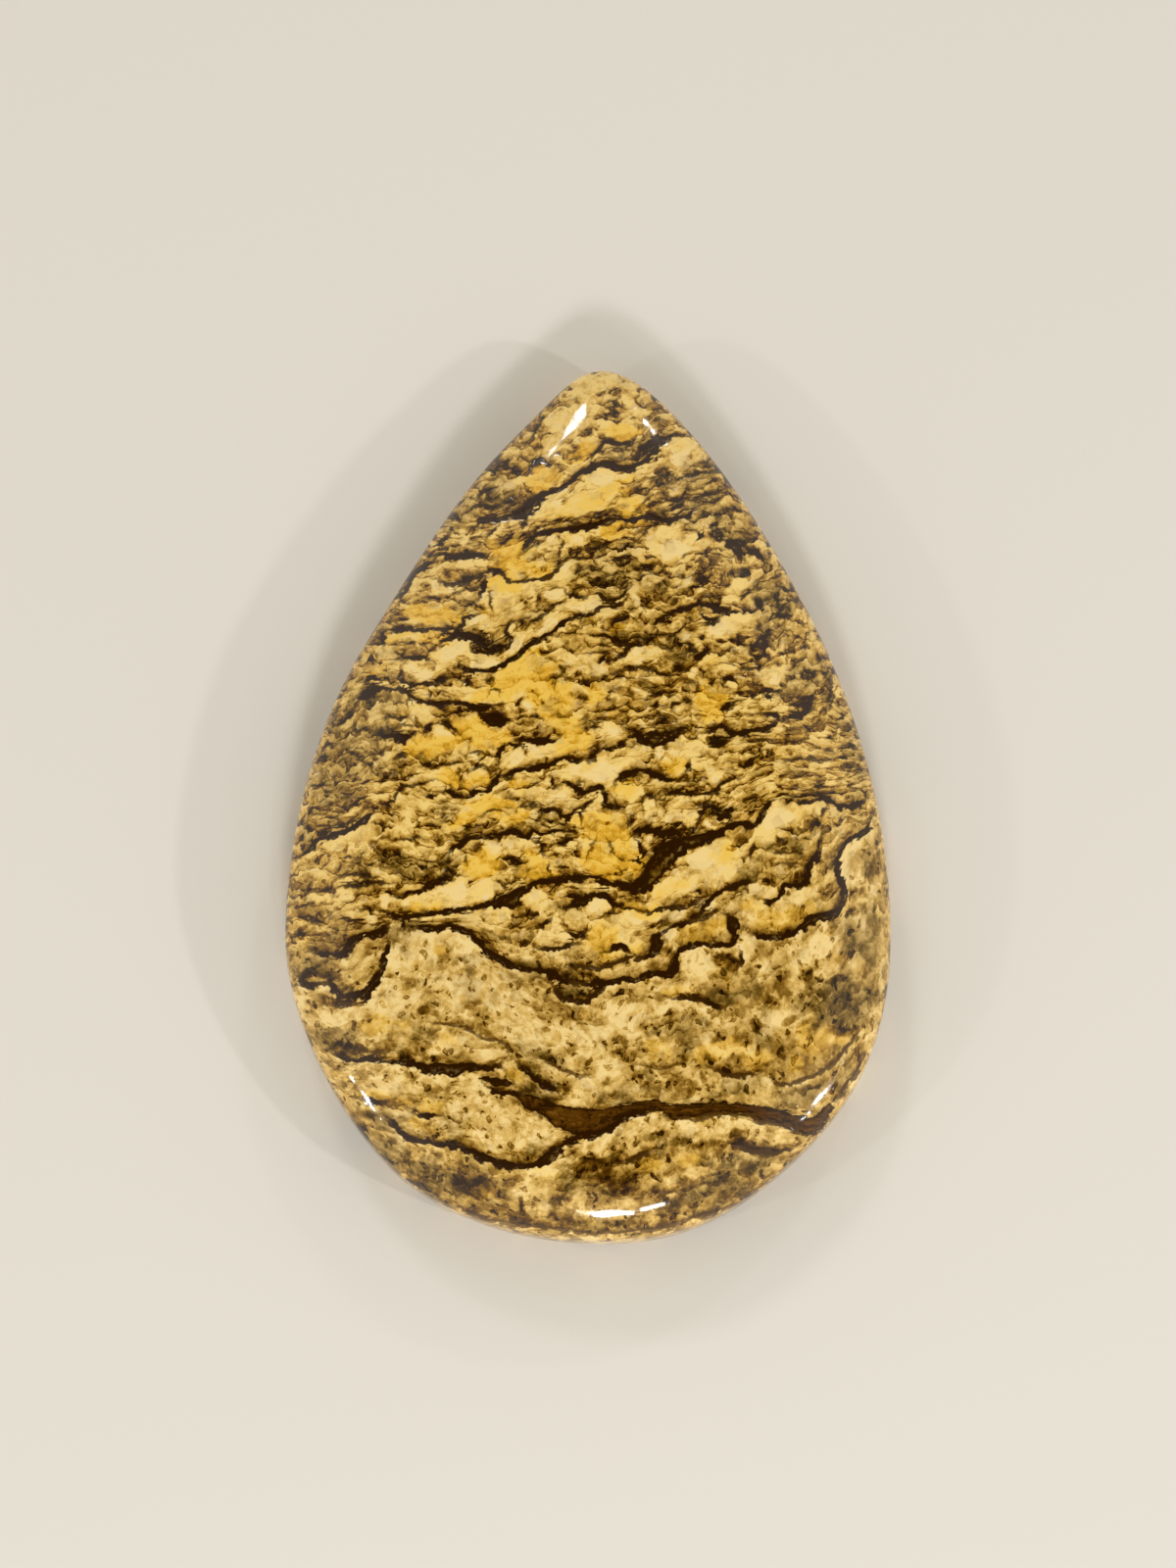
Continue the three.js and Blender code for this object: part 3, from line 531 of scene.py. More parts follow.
# Soft oval patches of each tint: middle x and y, half length, half width, turn in degrees and
# strength. Where patches of one tint overlap, the strongest counts.
PATCHES = {
    Tint.PALE: (
        # The crown.
        (1.6, 20.3, 3.2, 1.2, 18, 0.5), (-2, 18.8, 2, 0.9, 15), (6.3, 22.5, 1.2, 1.1),
        (-1.2, 24.6, 2.8, 0.9, 52), (0.5, 27.2, 1.4, 1.2), (5.8, 16.1, 1.9, 1.1, -10),
        (3.2, 26, 1.6, 0.6, -45, 0.6), (-5.6, 20.4, 0.9, 0.5, 20, 0.6), (6, 15.9, 1.5, 0.8, 0, 1.3),
        (-1, 19, 2.4, 0.7, 10, 1.2), (-0.9, 16.6, 0.8, 0.6, 0, 1.2), (-2.6, 16.3, 0.7, 0.4, 0, 1.1),
        (-1.2, 14.2, 0.7, 0.5, 40, 1.1),
        # Above the middle.
        (-11.2, 12.7, 1.9, 1.1, 25, 0.45), (-9.7, 13.1, 1, 0.6, 0, 0.8), (-5.4, 12.2, 1.7, 1.1, 60),
        (-6.6, 10.8, 1.4, 0.7, 15), (-2.8, 13.2, 1.5, 0.55, 20), (-8.8, 8.4, 1.2, 0.8, 30),
        (-10.9, 7.1, 1.7, 0.6, 5), (-6.6, 7.85, 1.8, 0.4, 0), (-4.2, 9.2, 1.8, 0.42, 40),
        (-2.1, 10.6, 1.6, 0.45, 35), (0.1, 11.8, 1.1, 0.4, 5), (8.6, 10.2, 1.9, 0.8, 15),
        (10.2, 13.1, 1.8, 0.6, 35, 0.8), (3.6, 8.4, 1.4, 0.6, 10), (0.1, 7.7, 1.2, 0.9, 0, 0.8),
        (8.2, 11.4, 0.4, 0.25, 0, 0.9), (4, 13.6, 0.9, 0.7, -60, 0.6), (12.4, 6.9, 0.8, 0.5, 20, 0.6),
        (-10.9, 4.4, 0.6, 1, 20, 0.9), (-9.6, 3, 0.5, 0.6, 0, 0.9), (-7.9, 5.8, 0.9, 0.5, 0, 0.6),
        (1.5, 2.9, 0.8, 0.7), (-6.15, 5.4, 0.25, 0.4), (-11.6, 5.1, 0.3, 0.3, 0, 1.3),
        (-9, 8.5, 1, 0.8, 0, 1.4), (-6.9, 7.85, 1.6, 0.45, 0, 1.4), (-4.7, 8.9, 1.2, 0.5, 38, 1.4),
        (-2.8, 10.2, 1.2, 0.5, 35, 1.4), (-0.3, 11.8, 1.3, 0.45, 8, 1.3), (-11, 7.2, 1.2, 0.6, 0, 1.3),
        (-10, 3.1, 0.4, 0.5, -30, 1.4), (-2.3, 12.6, 1, 0.3, 0, 1.2), (8.6, 10.2, 1.1, 0.9, 30, 1.3),
        (12.6, 6.6, 0.7, 0.5, 0, 1.2), (8.1, 11.3, 0.5, 0.3, 0, 1.4),
        # The middle.
        (1, 0.2, 2.6, 0.8, 8), (3.2, 1.4, 1.2, 0.8, 30), (-4.9, 1.2, 0.8, 0.7, 0, 1.3),
        (-12.4, -2.7, 2.4, 1.1, 15, 0.45), (-15.6, -4.2, 2.2, 0.6, 18), (-8.8, -8, 2.6, 0.55, 14),
        (-6.5, -7.4, 1, 0.5, 20), (8, -6, 2.2, 1.3, 35), (5.3, -7.7, 1.7, 0.9, 25),
        (3, -9.6, 1.6, 0.6, 10), (12, -3, 1.5, 1, 50), (-6.4, -4.7, 0.55, 0.55, 0, 1.3),
        (-5, -4.8, 0.8, 0.7, 0, 0.9), (-2.9, 2, 1.2, 0.5, 0, 0.9), (-2, -1.5, 1.6, 0.6, -15, 0.8),
        (0.4, -1.8, 0.6, 0.7, 0, 0.9), (-3.3, -8.3, 1, 0.7, 0, 0.9), (-1, -9.3, 1.2, 0.7, -20, 0.8),
        (-5.9, -9.4, 0.8, 0.6, 0, 0.8), (0.9, -8.9, 0.6, 0.7, 0, 0.8), (0, -7.45, 1.6, 0.25, 0, 0.8),
        (17.3, -5.9, 0.8, 1.4), (4.2, -2.2, 0.6, 0.9, 20, 0.9), (5.6, -3, 1, 0.35, 20, 0.8),
        (8, -3, 0.7, 0.5, 30, 0.8), (8.4, -0.2, 0.8, 0.7, 40, 0.8), (6.8, 1.7, 0.9, 0.9, 0, 0.7),
        (11.8, -9.6, 1.6, 0.3, 0, 0.5), (14.3, -7.9, 1.4, 0.5, 20, 0.7), (11.5, -7.9, 1, 0.4, 0, 0.7),
        (15.7, -6.6, 0.5, 1.2, -15, 0.7), (-7.7, -9.8, 0.7, 0.5, -30, 0.7), (15, 0.8, 1, 0.3, 5, 0.7),
        (4, -5, 0.4, 0.7, 0, 0.6), (-16, -8.1, 0.35, 0.3, 0, 1.2), (18, -9, 0.6, 1.6, 0, 0.7),
        (1.4, 0.5, 1.4, 0.7, 0, 1.2), (0, 0.2, 1.8, 0.6, 0, 1.3), (-1.8, -1.6, 1.3, 0.5, 0, 1.2),
        (2.4, -1.2, 1.2, 0.5, 10, 1), (-5.1, 1.3, 0.7, 0.5, 0, 1.4), (12.4, -2.7, 1.2, 1, 30, 1.4),
        (7.6, -5.6, 1.7, 1, 20, 1.4), (0.6, -7.4, 1.5, 0.25, 0, 1.1), (-3.2, -7.9, 1.1, 0.4, 20, 1.2),
        (-9.2, -7.8, 1.8, 0.4, 12, 1.2),
        # Below the middle.
        (7.2, -12.6, 0.9, 1.1, 0, 1.5), (15.3, -11.3, 1.2, 0.9, -30, 1.5), (13.2, -12.1, 2.6, 0.8, 15),
        (15.2, -12.6, 1.4, 0.8, -30), (-11.4, -12.6, 1.8, 1.7), (-8, -11.6, 0.8, 0.9, 0, 1.2),
        (-12.3, -15, 2.2, 0.9, 0, 1.1), (-8.9, -14.4, 1.2, 1.3), (-16.6, -16.1, 1.9, 0.5, 0, 1.1),
        (-18.4, -15, 0.4, 1.2, 20), (-5.8, -14.5, 2.3, 1.2, -25), (-4.4, -16.8, 1.9, 0.9, -20),
        (-9, -17.6, 1.2, 0.8), (0.5, -19, 1.7, 0.8), (-0.6, -17.1, 2.4, 0.7, -10),
        (-6.2, -18.3, 0.8, 0.4, 0, 0.8), (2.5, -16.5, 1.2, 1.2, 0, 0.8), (6, -15.4, 1.5, 0.3, 0, 0.8),
        (12.3, -15.8, 1.1, 1.2, 0, 0.9), (-5, -11.6, 1.6, 0.35, -25), (-2.1, -11, 1.2, 0.7, -10),
        (1.8, -12.9, 1.8, 0.4, 10, 0.8), (5.3, -11, 0.6, 0.6, 0, 1.1), (5.6, -14.1, 1.3, 0.4, -10, 0.8),
        (-15, -12.7, 0.9, 1.3, -35, 0.8), (2.6, -11, 0.8, 0.8, 0, 0.7),
        (10.3, -11.6, 0.6, 0.8, 30, 0.7), (-1, -12.2, 1.2, 0.3, 0, 0.5),
        (3.1, -16.2, 0.25, 0.8, -15, 1.4), (-13.8, -17.4, 1.2, 0.4, 0, 0.6),
        (8.7, -18.2, 1.3, 0.7, 0, 0.7), (13.6, -13.9, 0.8, 0.6, 0, 0.6),
        (10.8, -13.4, 1.2, 0.7, 30, 0.6), (14.8, -11.5, 2.3, 0.9, -45, 0.9),
        (15.3, -11, 0.5, 0.6, 0, 1.2), (13, -15.9, 1.05, 1, 0, 0.9),
        # The lower rim.
        (-10.6, -20.3, 1.9, 0.5), (-13.6, -20.7, 1.8, 0.5), (-7.3, -21.2, 1.5, 1.3, 60),
        (-5, -23.3, 2.6, 1.3, -15), (0, -20.8, 1.2, 0.8), (2.2, -23.8, 2.3, 0.8, 22),
        (4, -22.9, 1.4, 0.6), (6.2, -23.3, 1, 0.6, 0, 1.2), (8.8, -23, 2, 0.4, -8),
        (11.8, -23.7, 1.6, 0.35, -12), (-3.2, -27.2, 1, 1.7), (1, -28.6, 4, 0.6, 0, 0.6),
        (-0.6, -25, 1.2, 0.3, 10, 0.8), (5, -26.8, 0.6, 0.5, 0, 0.6), (6.8, -26, 1.2, 0.4, 0, 0.6),
        # The long thin pale patch at (2, -30.6) is painted light: the front wall under the girdle line,
        # lit from the front and by light bounced off the floor.
        (-10, -25, 1.6, 0.35, -12, 0.8), (-12, -24, 1.2, 0.25, -38, 0.8), (2, -30.6, 9, 0.5, 0, 0.5),
    ),
    Tint.OCHRE: (
        # The crown.
        (-5.7, 15.4, 1, 1.3), (2.9, 18.7, 1.3, 1.2, 40, 0.7), (-3, 20.9, 1.3, 0.8, 20),
        (2.2, 24.2, 1.1, 0.5), (-0.5, 22.6, 1.2, 0.6, 40), (1.7, 17, 0.8, 0.5),
        (0.8, 19.2, 2.6, 0.8, 20, 0.35), (-3.2, 14.6, 1.6, 0.5, 15, 0.5), (0.6, 19.5, 3, 0.6, 25, 0.8),
        (-4.9, 15.2, 1.4, 0.9, 30, 1.2), (-2.9, 14.4, 0.9, 0.4, 25, 1),
        # Above the middle.
        (-9.6, 11.2, 2.2, 0.5, 8), (-10.4, 9.7, 1.3, 0.4), (-5.8, 13.4, 0.8, 0.7),
        (-3.7, 7.1, 1.7, 1.5, 0), (-2.3, 4.9, 1.3, 1.8, 20), (-1.2, 3, 1, 1.3), (-7.8, 2.9, 1.2, 1.1),
        (-10.2, 2.2, 1.6, 0.7, 10), (-6, 2.9, 1.2, 0.6, 0, 0.8), (8.2, 5.6, 0.9, 0.8),
        (8.5, 4.4, 0.7, 0.6), (-6, 5.8, 1.5, 0.7, 10, 0.6), (0.3, 5.9, 0.7, 0.7, 0, 0.8),
        (-14.6, 6.9, 1.4, 0.5, 35, 0.5), (-12.8, 9.6, 1, 0.25, 0, 0.8), (9.4, 7.9, 1.4, 0.5, 0, 0.4),
        (3, 10.4, 1.2, 0.4, 0, 0.5), (-0.3, 2.4, 0.6, 0.7, 0, 0.8), (-10.8, 11.1, 1.5, 0.6, -10, 0.9),
        (-6.6, 5.4, 1.8, 0.4, 0, 0.8), (-4.5, 7, 1.6, 1, 20, 1.2), (-3, 5.9, 0.9, 0.6, 0, 1.3),
        (8.3, 5.4, 0.8, 0.9, 0, 1.3), (-5.4, 13.3, 0.8, 0.6, 0, 1.2),
        # The middle.
        (-6.3, -2.1, 1.6, 0.7, -15), (-8, -2.9, 1, 0.5, 10), (-6.8, -5.9, 1.1, 1), (-3.5, -6.2, 1.2, 1),
        (1.3, -3.8, 1.5, 1, 0), (1.4, -5.8, 1.7, 1.2), (3.6, -8.9, 1.4, 0.4, 0),
        (12.8, -9.4, 1.8, 0.8, 0), (0.5, -2.9, 1.6, 0.5, 0), (9, -5.5, 1, 0.5, 60, 0.6),
        (5.6, -7.4, 1.2, 0.6, 20, 0.6), (2.6, -1, 1.4, 0.7, 10, 0.5), (-9, -0.3, 1.1, 0.5, -10, 0.9),
        (-7.1, -0.1, 1.1, 0.5, 0, 0.7), (10.6, -8.7, 1, 0.4, 0, 0.8), (-10.6, -8.9, 2.2, 0.3, 5, 0.7),
        (5.6, 0.9, 0.8, 0.7, 0, 0.7), (-4.8, -2.4, 1, 0.5, -20, 0.8), (-4, -0.6, 1.2, 0.5, 0, 0.5),
        (2, -6.4, 1.8, 0.5, -10, 0.8), (1.1, -5.3, 1.3, 0.9, 0, 1.3), (3.4, -6.1, 1, 0.5, -20, 1.3),
        (1.2, -3.5, 1.6, 0.3, 8, 1.2),
        # Below the middle.
        (7.4, -10.3, 1.6, 0.6, 15), (1, -11, 1.3, 1), (4.5, -18.3, 0.9, 0.8),
        (8.3, -18.3, 1.5, 0.7, 10), (10.9, -18.6, 0.8, 0.5), (14.8, -17.5, 1.1, 0.9, 20),
        (13.1, -19.3, 0.6, 0.5), (-13.3, -16.5, 1.1, 0.5), (-9.6, -11.5, 0.5, 0.5),
        (2.8, -11.3, 0.9, 0.4, 0, 0.8), (6, -14.3, 0.9, 0.3, -10), (16.3, -17.3, 0.8, 0.5, 30, 0.7),
        (-9.2, -17.6, 0.9, 0.6, 0, 0.6), (8.6, -13.2, 0.9, 0.6, 0, 0.5), (0.6, -19.2, 1.3, 0.5, 0, 0.4),
        (15.8, -12.3, 0.9, 0.6, 0, 0.4),
        # The lower rim.
        (-12.8, -21.4, 1.6, 0.35, -5), (-9.9, -22.1, 0.8, 0.4), (3.8, -25.7, 0.7, 0.5),
        (6.4, -25.2, 1.4, 0.4, 0, 0.7), (-11, -23.2, 1.2, 0.4, -25, 0.5),
        (-0.2, -25.9, 0.6, 0.3, 0, 0.5), (-6.4, -27.3, 0.8, 0.4, 0, 0.6),
        (-4.6, -20, 1.2, 0.4, -10, 0.7), (-1, -22.5, 1.2, 0.4, 0, 0.7), (-3.2, -25.9, 1.2, 0.4, 0, 0.5),
    ),
    Tint.DUSK: (
        # The crown.
        (-4.8, 18.5, 1.7, 0.55, 12, 0.5), (4.2, 22.9, 0.9, 0.5, 40, 0.7),
        (-5.4, 21.3, 0.6, 0.55, 0, 0.8), (-3.2, 21.9, 0.55, 0.3, 0, 0.8), (1, 27.1, 0.3, 0.35, 0, 0.8),
        (1.4, 25.2, 0.6, 0.3, 0, 0.8), (10.3, 15.9, 0.9, 0.8, 0, 0.9), (8, 14.4, 1.5, 0.6, 0, 0.6),
        (9.4, 21, 0.5, 1.2, 20, 0.7), (-1.65, 19, 0.25, 0.3), (1, 19.4, 0.15, 0.35),
        (0.75, 18.45, 0.3, 0.15, 40), (2.2, 17.3, 0.25, 0.25), (2.7, 16.75, 0.3, 0.15),
        (2.1, 15.1, 0.9, 0.35), (-3.6, 14.4, 0.3, 0.2, 40), (-2.85, 14.7, 0.3, 0.2),
        (5.35, 21.3, 0.2, 0.2), (4.6, 19.05, 0.5, 0.2), (2.9, 16.85, 0.4, 0.12),
        (8.7, 16.9, 0.45, 0.65), (9.9, 15.9, 0.7, 0.6), (4.95, 14.2, 0.4, 0.2), (-1, 23.2, 0.35, 0.25),
        (2.2, 26.9, 0.25, 0.3), (0.5, 24.1, 0.2, 0.35), (-0.45, 25.3, 0.25, 0.2), (2.4, 25.8, 0.7, 0.2),
        (-5.6, 19.3, 1.7, 0.6, 28, 0.4), (-4.2, 18.8, 0.8, 0.6, 30), (-6.7, 18.5, 0.5, 0.35),
        # Above the middle.
        (-6.5, 9.2, 1.1, 0.4, -10), (-8.4, 7.75, 0.6, 0.4, 0, 0.8), (-13, 10.2, 0.9, 0.3),
        (-8.5, 4.8, 2, 0.35, -5, 0.8), (-6.2, 3.8, 0.9, 0.45), (-12.6, 2.7, 1.1, 0.4, 0, 0.8),
        (2.2, 10.8, 0.9, 0.4, 20, 0.7), (2.6, 9.1, 1.4, 0.45, 0, 0.7), (7.6, 8.3, 0.7, 0.35, 0, 0.8),
        (7.9, 11.5, 1.7, 0.35, 0, 0.5), (11.3, 9, 0.6, 0.5, 0, 0.8), (12, 9.9, 0.5, 0.3, 0, 0.8),
        (13.9, 4.6, 1.3, 0.5, 25, 0.9), (3.2, 3.2, 0.7, 0.4, -30, 0.9), (11.3, 12, 0.35, 0.6, 0, 0.8),
        (-14.4, 5.9, 0.7, 0.4, 20, 0.9), (12.8, 11.3, 0.6, 0.9, 0, 0.5), (5.6, 10.9, 1.1, 0.4, 30, 0.6),
        (-9.4, 9.9, 1.3, 0.3, -10, 0.6), (-10.7, 9.35, 0.3, 0.2), (-10.4, 8.8, 0.25, 0.3),
        (-9.3, 6.15, 0.2, 0.2), (-3.75, 6.1, 0.25, 0.15), (-4.05, 12.4, 0.25, 0.2),
        (-2.75, 5.1, 0.25, 0.2), (-2.6, 8.9, 0.6, 0.2), (-8, 4.6, 1.5, 0.4), (-6.4, 4.2, 0.8, 0.45),
        (4.6, 3.9, 0.5, 0.3), (4.5, 4.8, 0.5, 0.12), (7.5, 4.3, 0.5, 0.2), (8.6, 2.2, 0.6, 0.4),
        (6.75, 5.2, 0.35, 0.25), (7.6, 13.6, 0.5, 0.6), (-10.6, 3.4, 0.35, 0.2),
        (-10.7, 2.85, 0.5, 0.12), (12.9, 11.8, 0.55, 0.8), (8.5, 12.5, 0.2, 0.2), (12.2, 9, 0.25, 0.5),
        (10.8, 6.9, 0.4, 0.15), (14.5, 7.1, 0.6, 0.5, 0, 0.7), (13.1, 6.5, 0.25, 0.25),
        (15.4, 5.8, 0.3, 0.2), (8.5, 9.2, 0.5, 0.2), (-6.8, 9, 1.1, 0.4),
        # The middle.
        (2.9, -7.6, 1.2, 0.8), (5.2, -5.2, 1.3, 1.1, 40), (6.9, -4.3, 1.8, 0.6, 18),
        (4.6, -3.6, 1.5, 0.4, 0), (-5.4, -5.8, 1, 0.5), (8.6, -2.2, 1, 0.5, 0, 0.9),
        (-0.9, -8.5, 1, 0.45), (-5.2, -8.3, 0.9, 0.5), (4.7, -4.6, 0.7, 0.9, 0, 0.9),
        (-10.8, -6.5, 1.6, 0.5, 10, 0.6), (3.2, -0.1, 1.1, 0.35, 0, 0.7), (7.2, -0.9, 1.3, 0.3, 0, 0.6),
        (-2.8, -2.6, 1.3, 0.35, -10, 0.6), (13.9, -6.4, 0.7, 0.4, 50, 0.6),
        (8.2, -8.9, 1.2, 0.3, 30, 0.6), (-17.4, -2.9, 1, 0.4, 20, 0.6), (-2, -6.6, 3, 0.4, 0, 0.5),
        (7.6, -7.6, 0.9, 0.5, 20, 0.5), (4.4, -9.9, 0.6, 0.4, 0, 0.6), (10.9, 1.2, 0.8, 0.4, 0, 0.6),
        (9.6, -9.9, 0.6, 0.8), (-9, -2.6, 0.6, 0.4), (-11.4, -3.3, 0.15, 0.35), (4.2, -2.45, 0.2, 0.25),
        (4.7, -3.2, 0.3, 0.15), (4.8, -3.9, 1.5, 0.45), (5.9, -4.3, 0.8, 0.6), (2.8, -7.3, 1.2, 0.45),
        (1.05, -3.25, 0.6, 0.12), (2.3, -6.5, 0.3, 0.2), (9.3, -4.9, 0.25, 0.2), (11.9, -7.2, 0.4, 0.2),
        (15.1, -5.8, 0.4, 0.2), (-15.05, -4.75, 0.35, 0.15, -45), (-17.3, -5.8, 0.2, 0.35),
        (-14.3, -5.75, 0.35, 0.15), (-10.4, -5.85, 1, 0.25), (-17.2, -9.7, 0.6, 0.2),
        (-15, -9.75, 1, 0.15), (-13.5, -2.8, 2.2, 0.9, 30, 0.5), (-16.4, 1.5, 2, 5, 12, 0.45),
        (4.9, -5.5, 0.9, 1.5, -40), (5.6, -4.6, 1, 0.7, 30), (3.7, -7.2, 1, 0.7, 40),
        # Below the middle.
        (-4.6, -10, 0.6, 0.7, 0, 0.5), (-16, -11.1, 2.4, 0.5, 0, 0.4), (-1.2, -14.3, 1.5, 0.5),
        (-2.4, -13.5, 0.7, 0.5), (-1.1, -15.6, 1.4, 0.5, 0, 0.7), (9.2, -12.5, 0.8, 0.6),
        (4.6, -11.3, 0.6, 0.6), (5.5, -12.4, 0.45, 0.9), (-15.5, -18.1, 1.7, 0.35, 0, 0.8),
        (-16.2, -14.9, 1.3, 0.3), (-17.2, -13.3, 1.4, 0.35), (-11.4, -13.6, 0.8, 0.5, 0, 0.55),
        (-1, -13.2, 1.8, 0.35, 0, 0.8), (3.2, -11.6, 0.6, 0.5, 0, 0.6),
        (-11.7, -18.6, 0.6, 0.4, 0, 0.7), (-16.3, -12.6, 1.6, 0.4, 0, 0.5),
        (2.2, -17.1, 0.4, 0.4, 0, 0.5), (12.9, -16.1, 0.4, 0.3, 0, 0.8),
        (-16.9, -17.2, 0.5, 0.5, 0, 0.5), (-2.9, -17.1, 0.25, 0.25, 0, 0.9),
        (-7.7, -13.9, 0.4, 0.6, 0, 0.4), (7.9, -15, 1.6, 0.25, -8, 0.6), (-11.7, -11.8, 0.2, 0.2),
        (14.4, -15.6, 1.6, 1.8, 0, 0.45), (12.9, -16.1, 0.35, 0.35, 0, 1.6),
        (16.2, -15, 2.2, 1.4, 0, 0.55), (18, -11, 1.2, 1.6, 0, 0.3), (13.4, -19, 2.6, 0.9, 25, 0.35),
        (11.7, -15.2, 0.6, 0.4), (13.8, -16.7, 0.3, 0.35), (13.9, -12.8, 0.5, 0.25, -30),
        (15.9, -13.7, 0.9, 0.25), (16.3, -16.8, 1.2, 0.3), (11.2, -12.7, 0.3, 0.2),
        (10.9, -16.8, 0.35, 0.4), (12.3, -18.4, 0.3, 0.5), (15.3, -18.3, 0.4, 0.3),
        (12.7, -13.9, 0.7, 1, 0, 0.5),
        # The lower rim.
        (14.6, -20.4, 1.6, 0.9, 40, 0.45), (-7.2, -26.9, 1.5, 0.75), (-7.4, -26, 1.2, 0.4, -20, 0.6),
        (1.2, -26.3, 2.2, 0.5), (0.6, -25.6, 1.6, 0.35, 5, 0.8), (1.6, -27.2, 1.8, 0.35, 0, 0.7),
        (2.9, -25.3, 1.3, 0.35, 20, 0.8), (10.6, -24.6, 2, 0.35, -5, 0.9),
        (-4.3, -21.6, 1.2, 0.5, -15, 0.8), (-2.6, -21.5, 1, 0.6, -20, 0.9),
        (-14.6, -23.8, 0.7, 0.6, -40, 0.8), (-14.2, -22.6, 1, 0.4, 0, 0.6),
        (-4.2, -28.3, 0.2, 0.5, 0, 0.9), (-1.5, -28, 0.15, 0.6, 0, 0.6),
        (-3.4, -20.7, 0.9, 0.6, -30, 0.6), (9, -27, 3, 0.8, 12, 0.4), (-3, -29, 5, 0.5, 0, 0.4),
        (4.8, -27.4, 0.5, 0.25, 0, 0.7), (7.8, -24.2, 1.6, 0.3, 0, 0.5),
    ),
    Tint.GREY: (
        # The crown.
        (-6, 19.5, 1.3, 0.9), (-8.8, 18.2, 1.6, 1, 45, 0.8), (2.4, 22.9, 1.9, 0.7, 10, 0.8),
        (6.6, 20.6, 2, 0.9, 0, 0.8), (7.4, 18.6, 2, 1, 10, 0.8), (9.2, 17, 0.9, 1.8, 15, 0.8),
        (2.6, 15.8, 2, 0.8, 10, 0.7), (1.4, 14.2, 2, 1, 0, 0.9), (4.4, 24.6, 1.2, 0.6, -45, 0.6),
        # Above the middle.
        (-3.9, 11, 1.1, 0.4, 20), (-6.4, 9.3, 1.1, 0.5), (5.9, 9.3, 1.1, 0.9, 0, 0.7),
        (6.6, 8.4, 1.2, 0.5), (12, 12.2, 1.3, 1.6, 0, 0.8), (12.4, 9.4, 1.4, 1, 0, 0.6),
        (14.2, 6.8, 1.4, 1.2, 30, 0.8), (-13.9, 4.9, 1.9, 0.9, 10, 0.8), (-15, 2.2, 2.6, 1.7, 0, 0.7),
        (-2, 6.9, 0.5, 0.6, 0, 0.8), (4.5, 2.6, 1.6, 0.4, 0, 0.7), (9, 2.6, 1.4, 0.5, 0, 0.7),
        (2, 12.8, 2, 0.9, 25, 0.8), (5.6, 13, 1.4, 1, 0, 0.5), (-8.3, 12, 0.7, 0.9, 30, 0.6),
        (-6.8, 9, 1.3, 0.5),
        # The middle.
        (-16.8, -0.5, 1.5, 1.6, 0, 0.7), (-12.6, -5.9, 2.8, 0.7, 0), (-9.2, -6.2, 1, 0.6, 30),
        (-3, -3, 1.3, 0.7, 0, 0.9), (3, 0, 0.9, 0.4, 0, 0.9), (9, -2.3, 0.9, 0.5, 0, 0.8),
        (6.2, -0.6, 1.4, 0.4, 10, 0.7), (-9.2, -2.1, 0.6, 0.8, 0, 0.8), (18.4, -6, 0.4, 2.2, 0, 0.7),
        (16, -2.2, 0.6, 0.5, -30), (13, -1.4, 0.8, 0.3), (17.5, 1.5, 1.2, 3, 12, 0.6),
        (10.6, -6.2, 0.7, 1.3, -30, 0.8), (12.8, -4.9, 1.6, 0.5, 0, 0.6), (-1.8, -8.8, 0.6, 0.4),
        (-14.3, 0.6, 2.4, 0.9, 0, 0.6),
        # Below the middle.
        (-11.9, -10.1, 1, 0.5), (-16, -10, 2, 0.8, 0, 0.4), (-17.6, -12.7, 1.3, 0.6),
        (-12.6, -10.4, 0.8, 0.4), (16.3, -15, 2.3, 1.6), (17.9, -10.8, 1.3, 1.8, 0, 0.8),
        (6.4, -17, 2, 0.9, 0, 0.5), (-3, -18.4, 1.6, 0.7, -10, 0.6), (9, -14.6, 1.3, 0.4),
        (-1.2, -14.4, 1.2, 0.4), (-16.6, -17.4, 1.2, 0.6, -20, 0.6), (-17.6, -19, 1.4, 0.8, -50, 0.4),
        (11.4, -17.2, 1, 1.2, 0, 0.5), (-7.7, -14, 0.7, 0.7, 0, 0.8), (-7.6, -12.5, 0.5, 0.5, 0, 0.8),
        (-12.5, -10.6, 0.4, 0.9),
        # The lower rim.
        (13.6, -21, 2.2, 0.7, 10, 0.7), (16.2, -20, 1.2, 0.6, 45, 0.7), (10.4, -20.4, 2.6, 0.6, 0, 0.6),
        (-2.6, -20.9, 0.8, 0.5, -20, 0.7), (6.7, -21.8, 0.4, 0.5, 0, 0.7),
        (4.9, -21.9, 0.3, 0.8, -20, 0.8), (3.2, -20.9, 2.2, 0.5, 0, 0.5), (-12.8, -24.6, 1.6, 0.9, -40),
        (-9.6, -26.6, 1.7, 0.8, -35, 0.9), (-1.2, -26.8, 0.6, 1.2, 30),
        (10.6, -25.4, 2.2, 0.7, 10, 0.7), (8.9, -26.8, 1.8, 0.7, 10, 0.7), (4.9, -24.6, 0.4, 0.7),
        (-13.4, -22.5, 0.9, 0.4), (-11.4, -22.2, 0.5, 0.4), (-8.6, -22.9, 0.9, 1, 0, 0.7),
        (6.4, -28, 2.6, 0.5, 15, 0.6), (-16.4, -21.6, 1.6, 0.7, -50, 0.6),
        (12.6, -22.9, 1.2, 0.3, -10, 0.5), (0.6, -27.2, 1.6, 0.5, 0, 0.5),
        (1.4, -29.4, 2.2, 0.3, 0, 0.6), (-3.2, -20.9, 1.2, 1, -30, 0.9),
    ),
}

